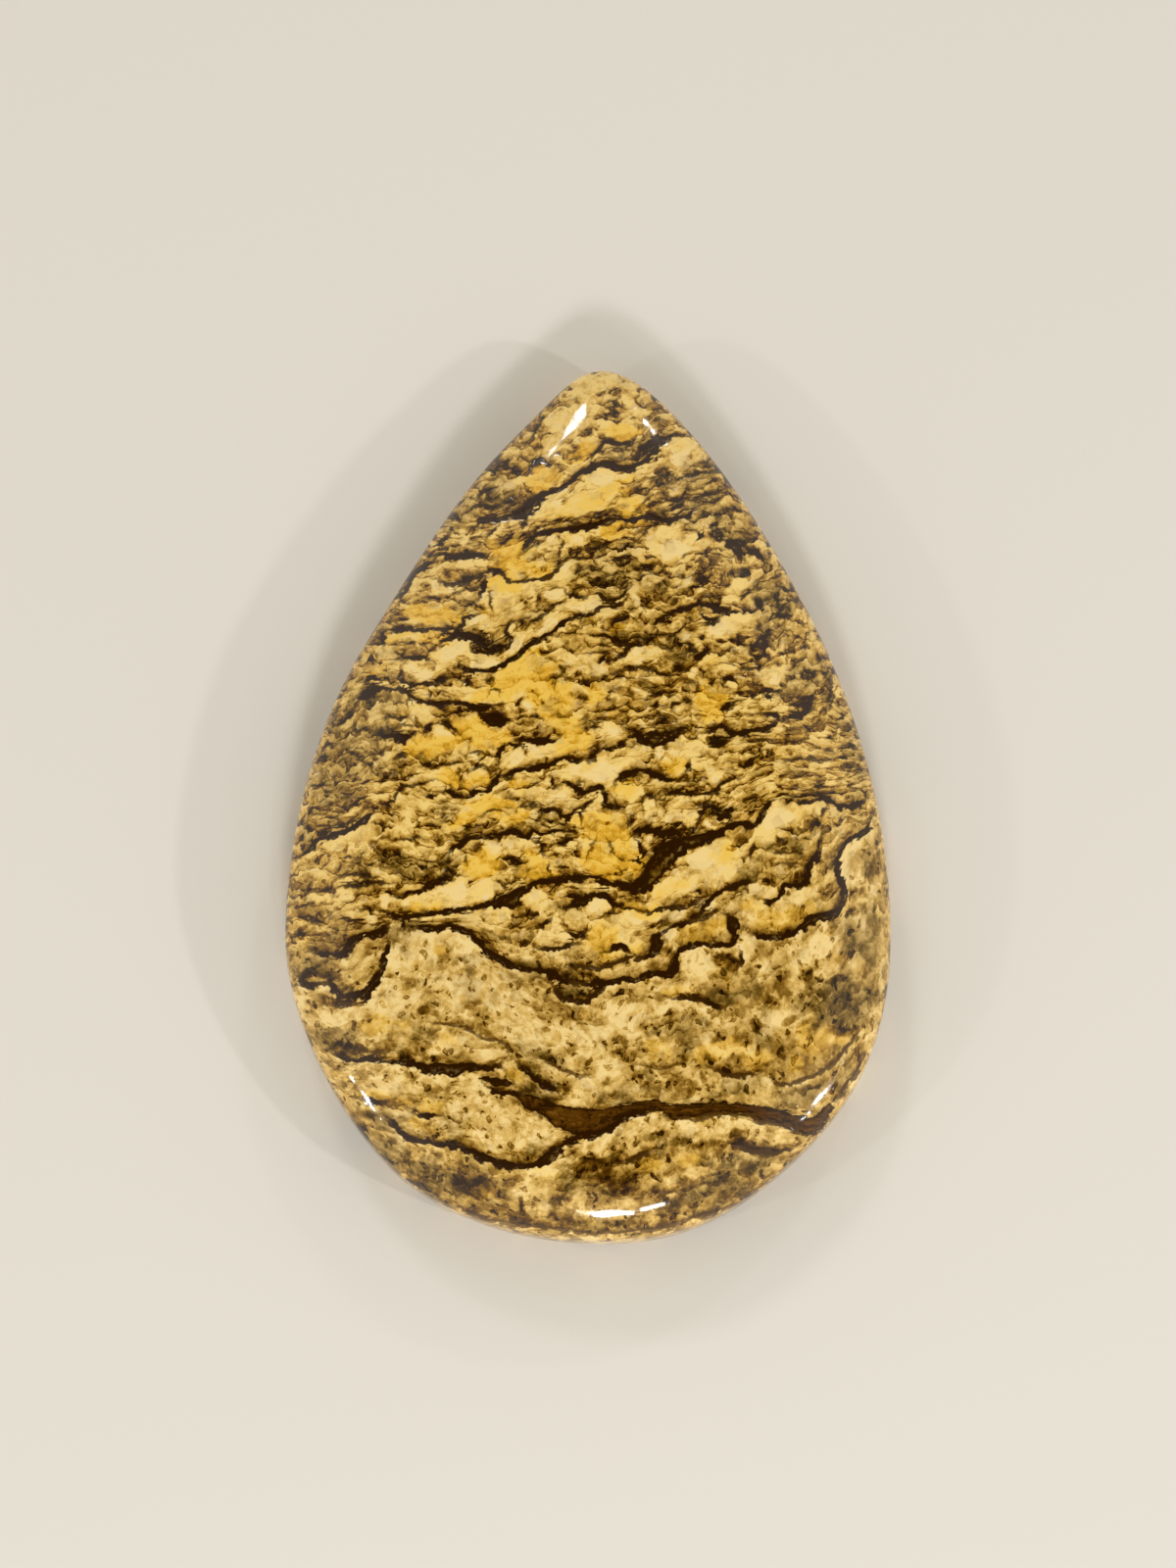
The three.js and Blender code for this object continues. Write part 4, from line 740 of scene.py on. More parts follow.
# Small bright chips: middle x and y, half length and, where they lean, turn in degrees.
CHIPS = (
    (-6.3, -4.5, 0.5, -60), (-15.7, -7.9, 0.35), (-13.3, -8.3, 0.4, 60), (-11.6, -8.3, 0.35),
    (-8.6, -7.6, 0.8, 40), (-6.9, -8, 0.4), (-14.2, -9.7, 0.3), (8, -3.2, 0.4, 20),
    (5.2, -2.9, 0.4, 30), (4.2, -4.4, 0.4, -60), (3.4, -4.2, 0.35, -70), (5.3, -10.7, 0.55),
    (8.1, -8.5, 0.5, 70), (0.6, -8.5, 0.6, 50), (5.6, -9.4, 0.6, 10), (7.2, -5.8, 0.8, 30),
    (3.2, -9.6, 0.4), (12.3, -2.4, 0.7, 20), (10.9, -7.7, 0.5, 20), (-1.2, 14.5, 0.5, 50),
    (0.1, 11.9, 0.8, 12), (-2.4, 12.5, 0.6, -10), (3.4, 8.6, 0.65, 30), (7.9, 11.4, 0.35, -20),
    (8.9, 10.2, 0.8, -20), (1.8, 3.1, 0.5, 40), (-3.8, 5, 0.5, -10), (6.4, 9.7, 0.35, 40),
    (0.9, 7.6, 0.45), (3.2, 12.3, 0.35, 60), (6.5, 13.3, 0.35), (5.6, 15.7, 0.8, 10),
    (8.3, -0.2, 0.45, 50), (4.8, 1.4, 0.5, 30), (7.7, -3, 0.35), (4.1, -1.6, 0.3, 60), (5.9, 1.7, 0.4),
    (6.8, 7.1, 0.4), (12, 4.2, 0.25), (9.7, 4.4, 0.3), (-2.8, 16.5, 0.4, 50), (-0.7, 16.5, 0.55),
    (-8.1, 16.8, 0.3), (-5.5, 20.1, 0.4, 30), (1.1, 20.9, 0.8, 20), (6.3, 22.5, 0.8, 60),
    (-9.5, 3.1, 0.35, -40), (-4.9, 1.2, 0.7, 10), (-3.7, -2.4, 0.35), (-3.6, 1.9, 0.5, -20),
    (-7.6, 1.4, 0.3), (-5.2, -4.5, 0.45, -40), (-10.4, 13.1, 0.4, 70), (-9.2, 13, 0.35, 60),
    (-10.7, 16.4, 0.35), (-8.3, 16.2, 0.3), (-11.7, 7.5, 0.5, 20), (-8.9, 8.7, 0.6, 30),
    (-8.2, 6.6, 0.25, 60), (-11.4, 5.2, 0.35, -50), (-6.2, 5.5, 0.3, 60), (-7.1, 12.6, 0.5, 50),
    (-7.6, 10.5, 0.5, -60), (-12.9, 9.8, 0.35), (15.3, -10.9, 0.6, 60), (1.4, 0.5, 1.2, 10),
)

# The lines that the bedding follows, from the lowest to the highest: the level in the pile of
# beds, then the marks from left to right.
HORIZONS = (
    (-31, (-20, -28), (0, -31), (20, -28)),
    (-25, (-15, -21.3), (-12, -23.5), (-8, -24.5), (-5, -25.7), (-3, -25.4), (0, -24), (3, -22.6),
     (9, -22.4), (14, -24)),
    (-19, (-18, -16.5), (-16, -18.6), (-12, -18.9), (-8, -19.4), (-5, -19), (-3, -20.3), (0, -21.8),
     (4, -21.4), (10, -21.7), (15, -22.2)),
    (-12, (-19, -12), (-16, -11.8), (-13, -10), (-10, -10.2), (-7.4, -10.8), (-5, -12.6), (-2, -13.4),
     (1, -13.9), (3, -13.5), (5, -13.2), (6, -11.5), (9, -11.3), (10.5, -10.5), (13, -10.6), (15, -9.5),
     (16.5, -7), (17, -5), (18.6, -3.5)),
    (-8, (-19, -9.4), (-15, -9), (-12, -9.4), (-8, -8.9), (-5, -8.2), (-3, -7), (0, -6.9), (2.5, -7.8),
     (4, -6.5), (6, -4.6), (8, -3.9), (10, -3.3), (12, -1.7), (15, -1.5), (18.4, -1.3)),
    (-4, (-19, -5.5), (-16, -3.8), (-14, -2.5), (-11, -4.1), (-8, -4.2), (-5, -3.7), (-1, -3.7),
     (3, -3.4), (6, -1.2), (9, -1), (12, 0.2), (16, 0.3), (19, 0.5)),
    (1, (-18, -0.5), (-13, 0), (-10, -0.9), (-7, -1), (-5.5, 0.2), (-2, 1), (1, 2), (3, 2.4), (5, 3),
     (8, 3.1), (12.5, 3.6), (16, 3)),
    (5, (-17, 3.9), (-14, 6), (-10, 5.1), (-6, 4.4), (-2, 5), (2, 5.5), (6, 6), (10, 5.6), (13, 5.4),
     (16, 6.3)),
    (10, (-16, 9.5), (-13.7, 10.2), (-10, 10.2), (-8, 9.2), (-6.5, 8.5), (-5, 9.5), (-3, 11), (0, 11.3),
     (2.5, 11), (5, 11), (8, 11.8), (10.5, 11.4), (14, 13)),
    (17.5, (-13, 14), (-10, 15.3), (-6.5, 15.2), (-4, 16.3), (-1, 17.2), (3, 17.8), (6, 17.9),
     (9, 19.8)),
    (24, (-8, 18), (-3.5, 19), (0, 21.4), (3, 21.8), (5, 23.6), (8, 24.5)),
    (32, (-10, 26), (0, 30), (10, 27)),
)

def drawn_veins() -> tuple[Vein, ...]:
    """Gather every vein of the face.

    Returns:
        The ink veins, the amber veins and the blots.
    """
    rows = {VeinKind.INK: INK_VEINS, VeinKind.AMBER: AMBER_VEINS}
    veins = [Vein(kind, row[0], row[1:]) for kind, group in rows.items() for row in group]
    return (*veins, *(blot(*row) for row in BLOTS))


def drawn_patches() -> tuple[Patch, ...]:
    """Gather every tinted patch of the face.

    Returns:
        The patches of each tint, and the bright chips.
    """
    patches = [Patch(tint, *row) for tint, rows in PATCHES.items() for row in rows]
    return (*patches, *(chip(*row) for row in CHIPS))


def drawn_horizons() -> tuple[Horizon, ...]:
    """Gather the bedding's lines, from the lowest to the highest.

    Returns:
        The horizons.
    """
    return tuple(Horizon(row[0], row[1:]) for row in HORIZONS)


# --- How the rock lies in the stone --------------------------------------------------------


def smooth_course(marks: tuple[Mark, ...], width: float, spacing: float) -> np.ndarray:
    """Sample a smooth line through marks.

    Args:
        marks: The places that the line passes.
        width: Its width where a mark gives none.
        spacing: About how far apart the samples are.

    Returns:
        One row for each sample: x, y and width.
    """
    knots = np.array([(*mark, width)[:3] for mark in marks])
    ends = np.vstack((2 * knots[0] - knots[1], knots, 2 * knots[-1] - knots[-2]))
    rows = []
    for before, start, end, after in zip(ends, ends[1:], ends[2:], ends[3:]):
        steps = max(2, int(np.hypot(*(end - start)[:2]) / spacing))
        t = np.arange(steps)[:, None] / steps
        bend = (2 * before - 5 * start + 4 * end - after) * t**2
        twist = (3 * start - before - 3 * end + after) * t**3
        rows.append(0.5 * (2 * start + (end - before) * t + bend + twist))
    rows.append(knots[-1:])
    return np.vstack(rows)


def bend_of(waves: tuple[Wave, ...], u: np.ndarray, v: np.ndarray) -> np.ndarray:
    """Add up waves.

    Args:
        waves: The waves.
        u: Each point's place across the face.
        v: Each point's place along it.

    Returns:
        How far they bend each point, in millimetres.
    """
    return sum(wave.height * np.sin(wave.across * u + wave.along * v + wave.start) for wave in waves)


@dataclass(frozen=True)
class RockPattern:
    """The markings, worked out at any point of the stone, in millimetres.

    Args:
        veins: Every vein of the face.
        patches: Every tinted patch of the face.
        horizons: The bedding's lines, from the lowest to the highest.
        face_height: The height at which the marks were drawn.
        dip: How far the markings run towards the tip for each millimetre of depth.
        fan: How much more they do so for each millimetre from the middle.
        cut_depth: Past this depth the rock differs from what the face shows.
        under_across: How it differs, for each millimetre further down, across the face.
        under_along: The same, along the face.
        ragged_across: How the edges of patches are bent across the face.
        ragged_along: How they are bent along it.
        patch_end: Where a patch ends, in shares of its half sizes; it fades over the last 1.
        reach: How far from a vein its fields are worked out.
        spacing: How far apart a vein's course is sampled.
        taper: How long a vein's ends are drawn out to a point.
        taper_share: No more of its length than this is drawn out.
        point: What is left of its width at the very end.
        side_fade: How fast its sides are lost past its ends.
        dark_reach: How far the dark above a hair-thin ink vein reaches.
        dark_growth: How much further it reaches for each millimetre of width.
        pale_reach: How far the pale edge below an ink vein reaches.
        full_width: An ink vein this wide has its full dark and pale edges.
        bed_spacing: How far apart a horizon's course is sampled.
        thinnest: The least that two horizons are apart.
    """

    veins: tuple[Vein, ...]
    patches: tuple[Patch, ...]
    horizons: tuple[Horizon, ...]
    face_height: float = 6.6
    dip: float = 0.266
    fan: float = 0.0044
    cut_depth: float = 4.0
    under_across: tuple[Wave, ...] = (Wave(0.4, 0.0, 0.23, 1.3), Wave(0.2, -0.19, 0.41))
    under_along: tuple[Wave, ...] = (Wave(0.4, 0.17, 0.0, 0.5), Wave(0.2, 0.33, 0.21))
    ragged_across: tuple[Wave, ...] = (Wave(0.22, 0.7, 1.9), Wave(0.12, -1.1, 4.3))
    ragged_along: tuple[Wave, ...] = (Wave(0.2, 1.5, -0.9), Wave(0.12, 3.7, 1.3))
    patch_end: float = 1.5
    reach: float = 2.4
    spacing: float = 0.25
    taper: float = 0.8
    taper_share: float = 0.3
    point: float = 0.25
    side_fade: float = 0.4
    dark_reach: float = 0.2
    dark_growth: float = 0.6
    pale_reach: float = 0.28
    full_width: float = 0.3
    bed_spacing: float = 0.5
    thinnest: float = 0.5

    def places(self, points: np.ndarray) -> tuple[np.ndarray, np.ndarray, np.ndarray]:
        """Follow the markings from points of the stone up to the drawn face.

        Args:
            points: One row for each point.

        Returns:
            Each point's place across and along the face, and its depth.
        """
        x, y, z = points.T
        depth = self.face_height - z
        under = np.clip(depth - self.cut_depth, 0.0, None)
        u = x - self.fan * x * depth + under * bend_of(self.under_across, x, y)
        v = y - depth * (self.dip + self.fan * y) + under * bend_of(self.under_along, x, y)
        return u, v, depth

    def vein_fields(self, u: np.ndarray, v: np.ndarray) -> dict[str, np.ndarray]:
        """Measure how far each point is from the veins, and how they shade it.

        Args:
            u: Each point's place across the face.
            v: Each point's place along it.

        Returns:
            The gap to the nearest vein of each kind, the place across the nearest ink vein
            and half its width, the dark that gathers above the ink veins and the pale edge
            below them.
        """
        fields = {kind.value: np.full(u.size, self.reach) for kind in VeinKind}
        fields |= {name: np.zeros(u.size) for name in ("dark_above", "pale_below", "vein_half")}
        fields["vein_across"] = np.full(u.size, self.reach)
        for vein in self.veins:
            line = smooth_course(vein.course, vein.width, self.spacing)
            low = line[:, :2].min(axis=0) - self.reach
            high = line[:, :2].max(axis=0) + self.reach
            near = np.flatnonzero((u > low[0]) & (u < high[0]) & (v > low[1]) & (v < high[1]))
            if near.size == 0:
                continue
            gap, side, half = self._nearest(line, np.stack((u[near], v[near]), axis=1))
            best = fields[vein.kind.value]
            closer = gap < best[near]
            best[near[closer]] = gap[closer]
            if vein.kind is VeinKind.INK:
                fields["vein_across"][near[closer]] = np.copysign(gap + half, side)[closer]
                fields["vein_half"][near[closer]] = half[closer]
                self._shade(fields, near, vein.width, np.clip(gap, 0.0, None), side)
        return fields

    def _shade(self, fields: dict[str, np.ndarray], near: np.ndarray, width: float,
               gap: np.ndarray, side: np.ndarray) -> None:
        """Add one ink vein's dark upper edge and its pale lower edge.

        Args:
            fields: The fields that they are added to.
            near: Which points are near the vein.
            width: The vein's width.
            gap: How far those points are from it.
            side: 1 above it, -1 below it.
        """
        weight = min(1.0, width / self.full_width)
        reach = self.dark_reach + self.dark_growth * width
        edges = {"dark_above": (side, reach), "pale_below": (-side, self.pale_reach)}
        for name, (towards, fade) in edges.items():
            shade = weight * np.clip(towards, 0.0, 1.0) * np.exp(-gap / fade)
            fields[name][near] = np.maximum(fields[name][near], shade)

    def _nearest(self, line: np.ndarray,
                 points: np.ndarray) -> tuple[np.ndarray, np.ndarray, np.ndarray]:
        """Measure points against one vein.

        Args:
            line: The vein's samples: x, y and width.
            points: Places on the face.

        Returns:
            Each point's gap to the vein's edge, its side, which is 1 above, -1 below and
            nearly 0 past the ends, and half the vein's width there.
        """
        strides = np.hypot(*np.diff(line[:, :2], axis=0).T)
        along = np.concatenate(([0.0], np.cumsum(strides)))
        to_end = np.minimum(along, along[-1] - along)
        taper = min(self.taper, self.taper_share * along[-1])
        halves = 0.5 * line[:, 2] * np.clip(to_end / taper, self.point, 1.0)
        gap = np.full(len(points), np.inf)
        side = np.zeros(len(points))
        half = np.zeros(len(points))
        for i, stride in enumerate(strides):
            way = (line[i + 1, :2] - line[i, :2]) / max(stride, TINY)
            offset = points - line[i, :2]
            run = offset @ way
            t = np.clip(run, 0.0, stride)
            across = way[0] * offset[:, 1] - way[1] * offset[:, 0]
            past = np.abs(run - t)
            away = np.hypot(across, past) + TINY
            wide = halves[i] + (halves[i + 1] - halves[i]) * t / stride
            closer = away - wide < gap
            gap[closer] = (away - wide)[closer]
            half[closer] = wide[closer]
            side[closer] = (across / away * np.exp(-past / self.side_fade))[closer]
        return gap, side, half

    def tints(self, u: np.ndarray, v: np.ndarray) -> np.ndarray:
        """Weigh the tints at each point.

        Args:
            u: Each point's place across the face.
            v: Each point's place along it.

        Returns:
            One column for each tint: 0 outside its patches, 1 at their middles.
        """
        u = u + bend_of(self.ragged_across, u, v)
        v = v + bend_of(self.ragged_along, u, v)
        weights = np.zeros((u.size, len(Tint)))
        for patch in self.patches:
            turn = math.radians(patch.turn)
            du = u - patch.x
            dv = v - patch.y
            a = (du * math.cos(turn) + dv * math.sin(turn)) / patch.half_length
            b = (dv * math.cos(turn) - du * math.sin(turn)) / patch.half_width
            weight = patch.strength * np.clip(self.patch_end - np.hypot(a, b), 0.0, 1.0)
            column = weights[:, patch.tint.value]
            np.maximum(column, weight, out=column)
        return weights

    def beds(self, u: np.ndarray, v: np.ndarray) -> np.ndarray:
        """Find each point's level in the pile of beds.

        Args:
            u: Each point's place across the face.
            v: Each point's place along it.

        Returns:
            The levels, in millimetres of rock.
        """
        lines = []
        for horizon in self.horizons:
            samples = smooth_course(horizon.course, 0.0, self.bed_spacing)
            lines.append(np.interp(u, samples[:, 0], samples[:, 1]))
        beyond = np.minimum(v - lines[0], 0.0) + np.maximum(v - lines[-1], 0.0)
        level = self.horizons[0].level + beyond
        for i, (low, high) in enumerate(zip(lines, lines[1:])):
            rise = self.horizons[i + 1].level - self.horizons[i].level
            level += rise * np.clip((v - low) / np.maximum(high - low, self.thinnest), 0.0, 1.0)
        return level


# --- Shader nodes written as sums ----------------------------------------------------------


Feed = "Signal | float | tuple[float, ...]"  # what a socket takes


class Signal:
    """A shader value or vector, which takes part in sums."""

    def __init__(self, bench: Bench, socket: bpy.types.NodeSocket) -> None:
        """Wrap a node's output.

        Args:
            bench: Where the node is laid out.
            socket: The output.
        """
        self.bench = bench
        self.socket = socket

    def _sum(self, operation: str, first: Feed, second: Feed) -> Signal:
        """Join two values by a Math node."""
        sockets = {"Value": first, "Value_001": second}
        return self.bench.add("ShaderNodeMath", {"operation": operation}, sockets, "Value")

    def __add__(self, other: Feed) -> Signal:
        """Add."""
        return self._sum("ADD", self, other)

    def __radd__(self, other: Feed) -> Signal:
        """Add to a number."""
        return self._sum("ADD", other, self)

    def __sub__(self, other: Feed) -> Signal:
        """Subtract."""
        return self._sum("SUBTRACT", self, other)

    def __rsub__(self, other: Feed) -> Signal:
        """Subtract from a number."""
        return self._sum("SUBTRACT", other, self)

    def __mul__(self, other: Feed) -> Signal:
        """Multiply."""
        return self._sum("MULTIPLY", self, other)

    def __rmul__(self, other: Feed) -> Signal:
        """Multiply a number."""
        return self._sum("MULTIPLY", other, self)

    def __abs__(self) -> Signal:
        """Drop the sign."""
        return self._sum("ABSOLUTE", self, 0.0)

    def fraction(self) -> Signal:
        """Drop the whole number, so that the value climbs from 0 to 1 again and again."""
        return self._sum("FRACT", self, 0.0)

    def whole(self) -> Signal:
        """Drop the fraction."""
        return self._sum("FLOOR", self, 0.0)

    def between(self, at_none: float, at_full: float) -> Signal:
        """Turn a value from 0 to 1 into one between two others, in that order."""
        return self * (at_full - at_none) + at_none

    def fall(self, low: float, high: float) -> Signal:
        """Turn the value into a smooth step from 1 at low to 0 at high."""
        return 1 - self.rise(low, high)

    def rise(self, low: float, high: float) -> Signal:
        """Turn the value into a smooth step.

        Args:
            low: Where the step leaves 0.
            high: Where it comes to 1.

        Returns:
            The step.
        """
        limits = {"Value": self, "From Min": low, "From Max": high}
        settings = {"interpolation_type": "SMOOTHSTEP"}
        return self.bench.add("ShaderNodeMapRange", settings, limits, "Result")


@dataclass
class Bench:
    """Where one material's nodes are laid out.

    Args:
        tree: Its node tree.
    """

    tree: bpy.types.NodeTree

    def add(self, kind: str, settings: dict[str, object], sockets: dict[str, Feed],
            output: str) -> Signal:
        """Add a node.

        Args:
            kind: The node's type.
            settings: What it is set to, or a ramp's stops, before its sockets are fed.
            sockets: What goes into it, by the socket's identifier.
            output: The identifier of the output that is wanted.

        Returns:
            That output.
        """
        node = self.tree.nodes.new(kind)
        for name, value in settings.items():
            if name == "stops":
                self._set_stops(node.color_ramp, value)
            else:
                setattr(node, name, value)
        places = {socket.identifier: socket for socket in node.inputs}
        for name, value in sockets.items():
            if isinstance(value, Signal):
                self.tree.links.new(value.socket, places[name])
            else:
                places[name].default_value = value
        outputs = {socket.identifier: socket for socket in node.outputs}
        return Signal(self, outputs[output])

    @staticmethod
    def _set_stops(ramp: bpy.types.ColorRamp, stops: Stops) -> None:
        """Give a ramp its stops.

        Args:
            ramp: The ramp.
            stops: Each stop's place and colour.
        """
        while len(ramp.elements) < len(stops):
            ramp.elements.new(0.5)
        for element, (place, colour) in zip(ramp.elements, stops):
            element.position = place
            element.color = colour

    def stored(self, name: str, output: str = "Fac") -> Signal:
        """Read a field that is stored on the mesh."""
        return self.add("ShaderNodeAttribute", {"attribute_name": name}, {}, output)

    def noise(self, place: Signal, fineness: float | Stretch, detail: float = 1.0,
              output: str = "Fac", roughness: float = 0.55) -> Signal:
        """Lay soft noise.

        Args:
            place: The place in the rock.
            fineness: Its spots to the millimetre, alike or across, up and inwards.
            detail: How many times finer noise is laid on top.
            output: "Fac" for a value, "Color" for three.
            roughness: How strong the finer noise is.

        Returns:
            The noise, from 0 to 1.
        """
        if isinstance(fineness, tuple):
            place = self.vector("MULTIPLY", place, fineness)
            fineness = 1.0
        sockets = {"Vector": place, "Scale": fineness, "Detail": detail, "Roughness": roughness}
        return self.add("ShaderNodeTexNoise", {}, sockets, output)

    def cells(self, place: Signal, fineness: float, output: str, feature: str = "F1") -> Signal:
        """Split the rock into cells.

        Args:
            place: The place in the rock.
            fineness: The cells to the millimetre.
            output: "Color" for a cell's own three values, "Position" for its middle, or
                "Distance".
            feature: What the distance is taken to.

        Returns:
            That output.
        """
        sockets = {"Vector": place, "Scale": fineness}
        return self.add("ShaderNodeTexVoronoi", {"feature": feature}, sockets, output)

    def vector(self, operation: str, first: Feed, second: Feed) -> Signal:
        """Join two vectors by a Vector Math node."""
        sockets = {"Vector": first, "Vector_001": second}
        return self.add("ShaderNodeVectorMath", {"operation": operation}, sockets, "Vector")

    def scaled(self, vector: Signal, share: Feed) -> Signal:
        """Lengthen a vector."""
        sockets = {"Vector": vector, "Scale": share}
        return self.add("ShaderNodeVectorMath", {"operation": "SCALE"}, sockets, "Vector")

    def part(self, vector: Signal, axis: str) -> Signal:
        """Take one part of a vector."""
        return self.add("ShaderNodeSeparateXYZ", {}, {"Vector": vector}, axis)

    def blend(self, share: Feed, first: Feed, second: Feed) -> Signal:
        """Go from one colour, at 0, to another, at 1."""
        sockets = {"Factor_Float": share, "A_Color": first, "B_Color": second}
        return self.add("ShaderNodeMix", {"data_type": "RGBA"}, sockets, "Result_Color")

    def ramp(self, value: Signal, stops: Stops) -> Signal:
        """Turn a value into a colour between stops."""
        return self.add("ShaderNodeValToRGB", {"stops": stops}, {"Fac": value}, "Color")


def screen_colour(red: int, green: int, blue: int) -> Colour:
    """Turn a colour as screens show it into the light that it stands for.

    Args:
        red: Its red, from 0 to 255.
        green: Its green.
        blue: Its blue.

    Returns:
        The light.
    """
    shares = (red / 255, green / 255, blue / 255)
    lights = (s / 12.92 if s <= 0.04045 else ((s + 0.055) / 1.055) ** 2.4 for s in shares)
    return (*lights, 1.0)


def even_stops(*colours: tuple[int, int, int]) -> Stops:
    """Space colours evenly along a ramp.

    Args:
        colours: The colours as screens show them, from the ramp's start to its end.

    Returns:
        The ramp's stops.
    """
    last = len(colours) - 1
    return tuple((i / last, screen_colour(*colour)) for i, colour in enumerate(colours))


# --- Finishes ------------------------------------------------------------------------------


# Colours from the darkest tone to the palest, as screens show them.
TAN_STOPS = even_stops(
    (42, 19, 0), (86, 55, 4), (138, 100, 30),
    (187, 148, 70), (228, 188, 105), (254, 224, 152),
)
OCHRE_STOPS = even_stops((60, 36, 3), (136, 95, 16), (200, 149, 36), (234, 180, 50), (252, 210, 96))
GREY_STOPS = even_stops((34, 20, 2), (75, 57, 14), (124, 98, 42), (176, 144, 80), (228, 196, 132))
FROST_STOPS = even_stops((52, 40, 22), (150, 130, 94), (240, 222, 180))
AMBER_STOPS = even_stops((44, 22, 0), (94, 57, 6), (152, 108, 32))
WARMTH = (1.0, 0.955, 0.75)  # what the bedded rock's colour is multiplied by
PAPER = screen_colour(236, 233, 226)
DAYLIGHT = (1.0, 0.94, 0.81, 1.0)

# Between the two levels of the first pair, in the pile of beds, one rock turns into another. Between
# those of the second, the lower rim darkens: partly the rock's own darker tone, partly painted shade
# that offsets the front lamp, which lights the rim more than the face.
BEDDED_FROM = (-13.0, -8.0)
RIM_TONE_AND_SHADE_UP_TO = (-26.5, -24.5)

# The strengths between which a wavering tint takes hold.
TINT_EDGE = (0.2, 0.6)
DUSK_EDGE = (0.25, 0.7)
OCHRE_EDGE = (0.2, 0.75)
GREY_EDGE = (0.15, 0.8)

# Grains to the millimetre, alike or across, up and inwards.
CRINKLES = (1.15, 1.6, 1.15)
BROAD_DRIFT = (0.3, 0.5, 0.3)
FLAKES = (0.6, 1.1, 0.6)
CRUMBS = (1.4, 2.0, 1.4)
RUBBLE = (1.25, 1.9, 1.25)
JOINTS = (0.5, 1.2, 0.5)
CRUMPLES = 1.1
CLOUDS = 0.8
CLEARINGS = 0.7
COLOUR_DRIFT = 0.9
COLOUR_CELLS = 1.3
ISLANDS = 1.6
BLOTCHES = 1.3
RINGS = 1.35
BUSY_PLACES = 0.45
FINE = 4.5
JAGS = 2.6
PITS = 3.2
SWELLS = 0.35

# Where a noise or a distance is cut, from one side of the soft edge to the other.
HALF_EDGE = (0.4, 0.6)
JOINT_EDGE = (0.4, 0.56)
FOOT_LINE = (0.05, 0.18)
UNDER_FLAKE = (-0.25, 0.0)
PALE_STONE_EDGE = (0.55, 0.61)
DARK_STONE_EDGE = (0.39, 0.45)
ISLAND_EDGE = (0.48, 0.54)
BLOTCH_EDGE = (0.53, 0.58)
RING_OUTSIDE = (0.22, 0.3)
RING_INSIDE = (0.04, 0.14)
RING_DRAW = (0.25, 0.3)
DRAW_EDGE = 0.05  # how soft the edge is between cells with a spot and cells without
SUNNY_DRAW = (0.6, 1.0)
SOMBRE_DRAW = (0.55, 1.0)
PIT_EDGE = (0.66, 0.74)
INK_BREAK = (0.1, 0.4)

# Where a gap to a vein, or half a vein's width, is cut, in millimetres.
INK_EDGE = (-0.05, 0.06)
INK_HEART = (-0.6, -0.22)
INK_NEARBY = (0.12, 0.24)
INK_SHADE = (0.0, 0.24)
INK_FULL = (0.04, 0.17)
INK_THIN = (0.1, 0.19)
AMBER_EDGE = (-0.06, 0.06)
AMBER_DEPTH = (-0.32, -0.02)
CLEAR_OF_VEINS = (0.15, 0.6)

# What a detail adds to the tone or takes from it: where it is full, or its least and most.
PALE_STONES = 0.18
DARK_STONES = 0.2
FLAKE_TOP = 0.6
FLAKE_FOOT = 0.22
SCALE_FOOT = 0.3
SCALE_TOP = 0.2
SHEETS_SEEN = 0.9
LEAVES_SEEN = 0.5
ISLAND = 0.1
BLOTCH = (0.03, 0.15)
RING = 0.36
DOT = (0.04, 0.34)
ABOVE_VEIN = 0.22
ABOVE_VEIN_CRINKLE = 0.8

# How strong something is where little of it is kept and where all of it is.
KEPT_JOINTS = (0.2, 1.0)
KEPT_LEAVES = (0.3, 1.0)
KEPT_BY_VEINS = (0.3, 1.0)
KEPT_RING = (0.4, 1.0)
KEPT_WARMTH = (1.0, 0.1)
KEPT_HEART = (0.7, 1.0)
KEPT_BROKEN = (1.0, 0.7)
KEPT_THIN_INK = (0.65, 1.0)


@dataclass(frozen=True)
class Beds:
    """Thin crinkled beds.

    Args:
        climb: Beds to the millimetre.
        stretch: Their crinkles to the millimetre.
        swell: How strongly these bend the beds.
        joint: The thickness of the dark joints between them, in millimetres.
        drift: How many beds the broad drift moves them by.
        body: How much paler a bed is at its top than at its foot.
        foot: How much its dark foot takes from the tone.
        foot_share: The share of the bed that this foot takes up.
        dark: How much a joint takes from the tone.
    """

    climb: float
    stretch: Stretch
    swell: float
    joint: float
    drift: float = 3.0
    body: float = 0.18
    foot: float = 0.16
    foot_share: float = 0.4
    dark: float = 0.5


@dataclass(frozen=True)
class Spots:
    """Scattered round spots.

    Args:
        fineness: Places for a spot to the millimetre.
        edge: Where a spot begins to fade and where it ends, in shares of its place.
        bare: The share of the places with no spot.
        strength: What a spot counts for.
    """

    fineness: float
    edge: tuple[float, float]
    bare: float
    strength: float = 1.0


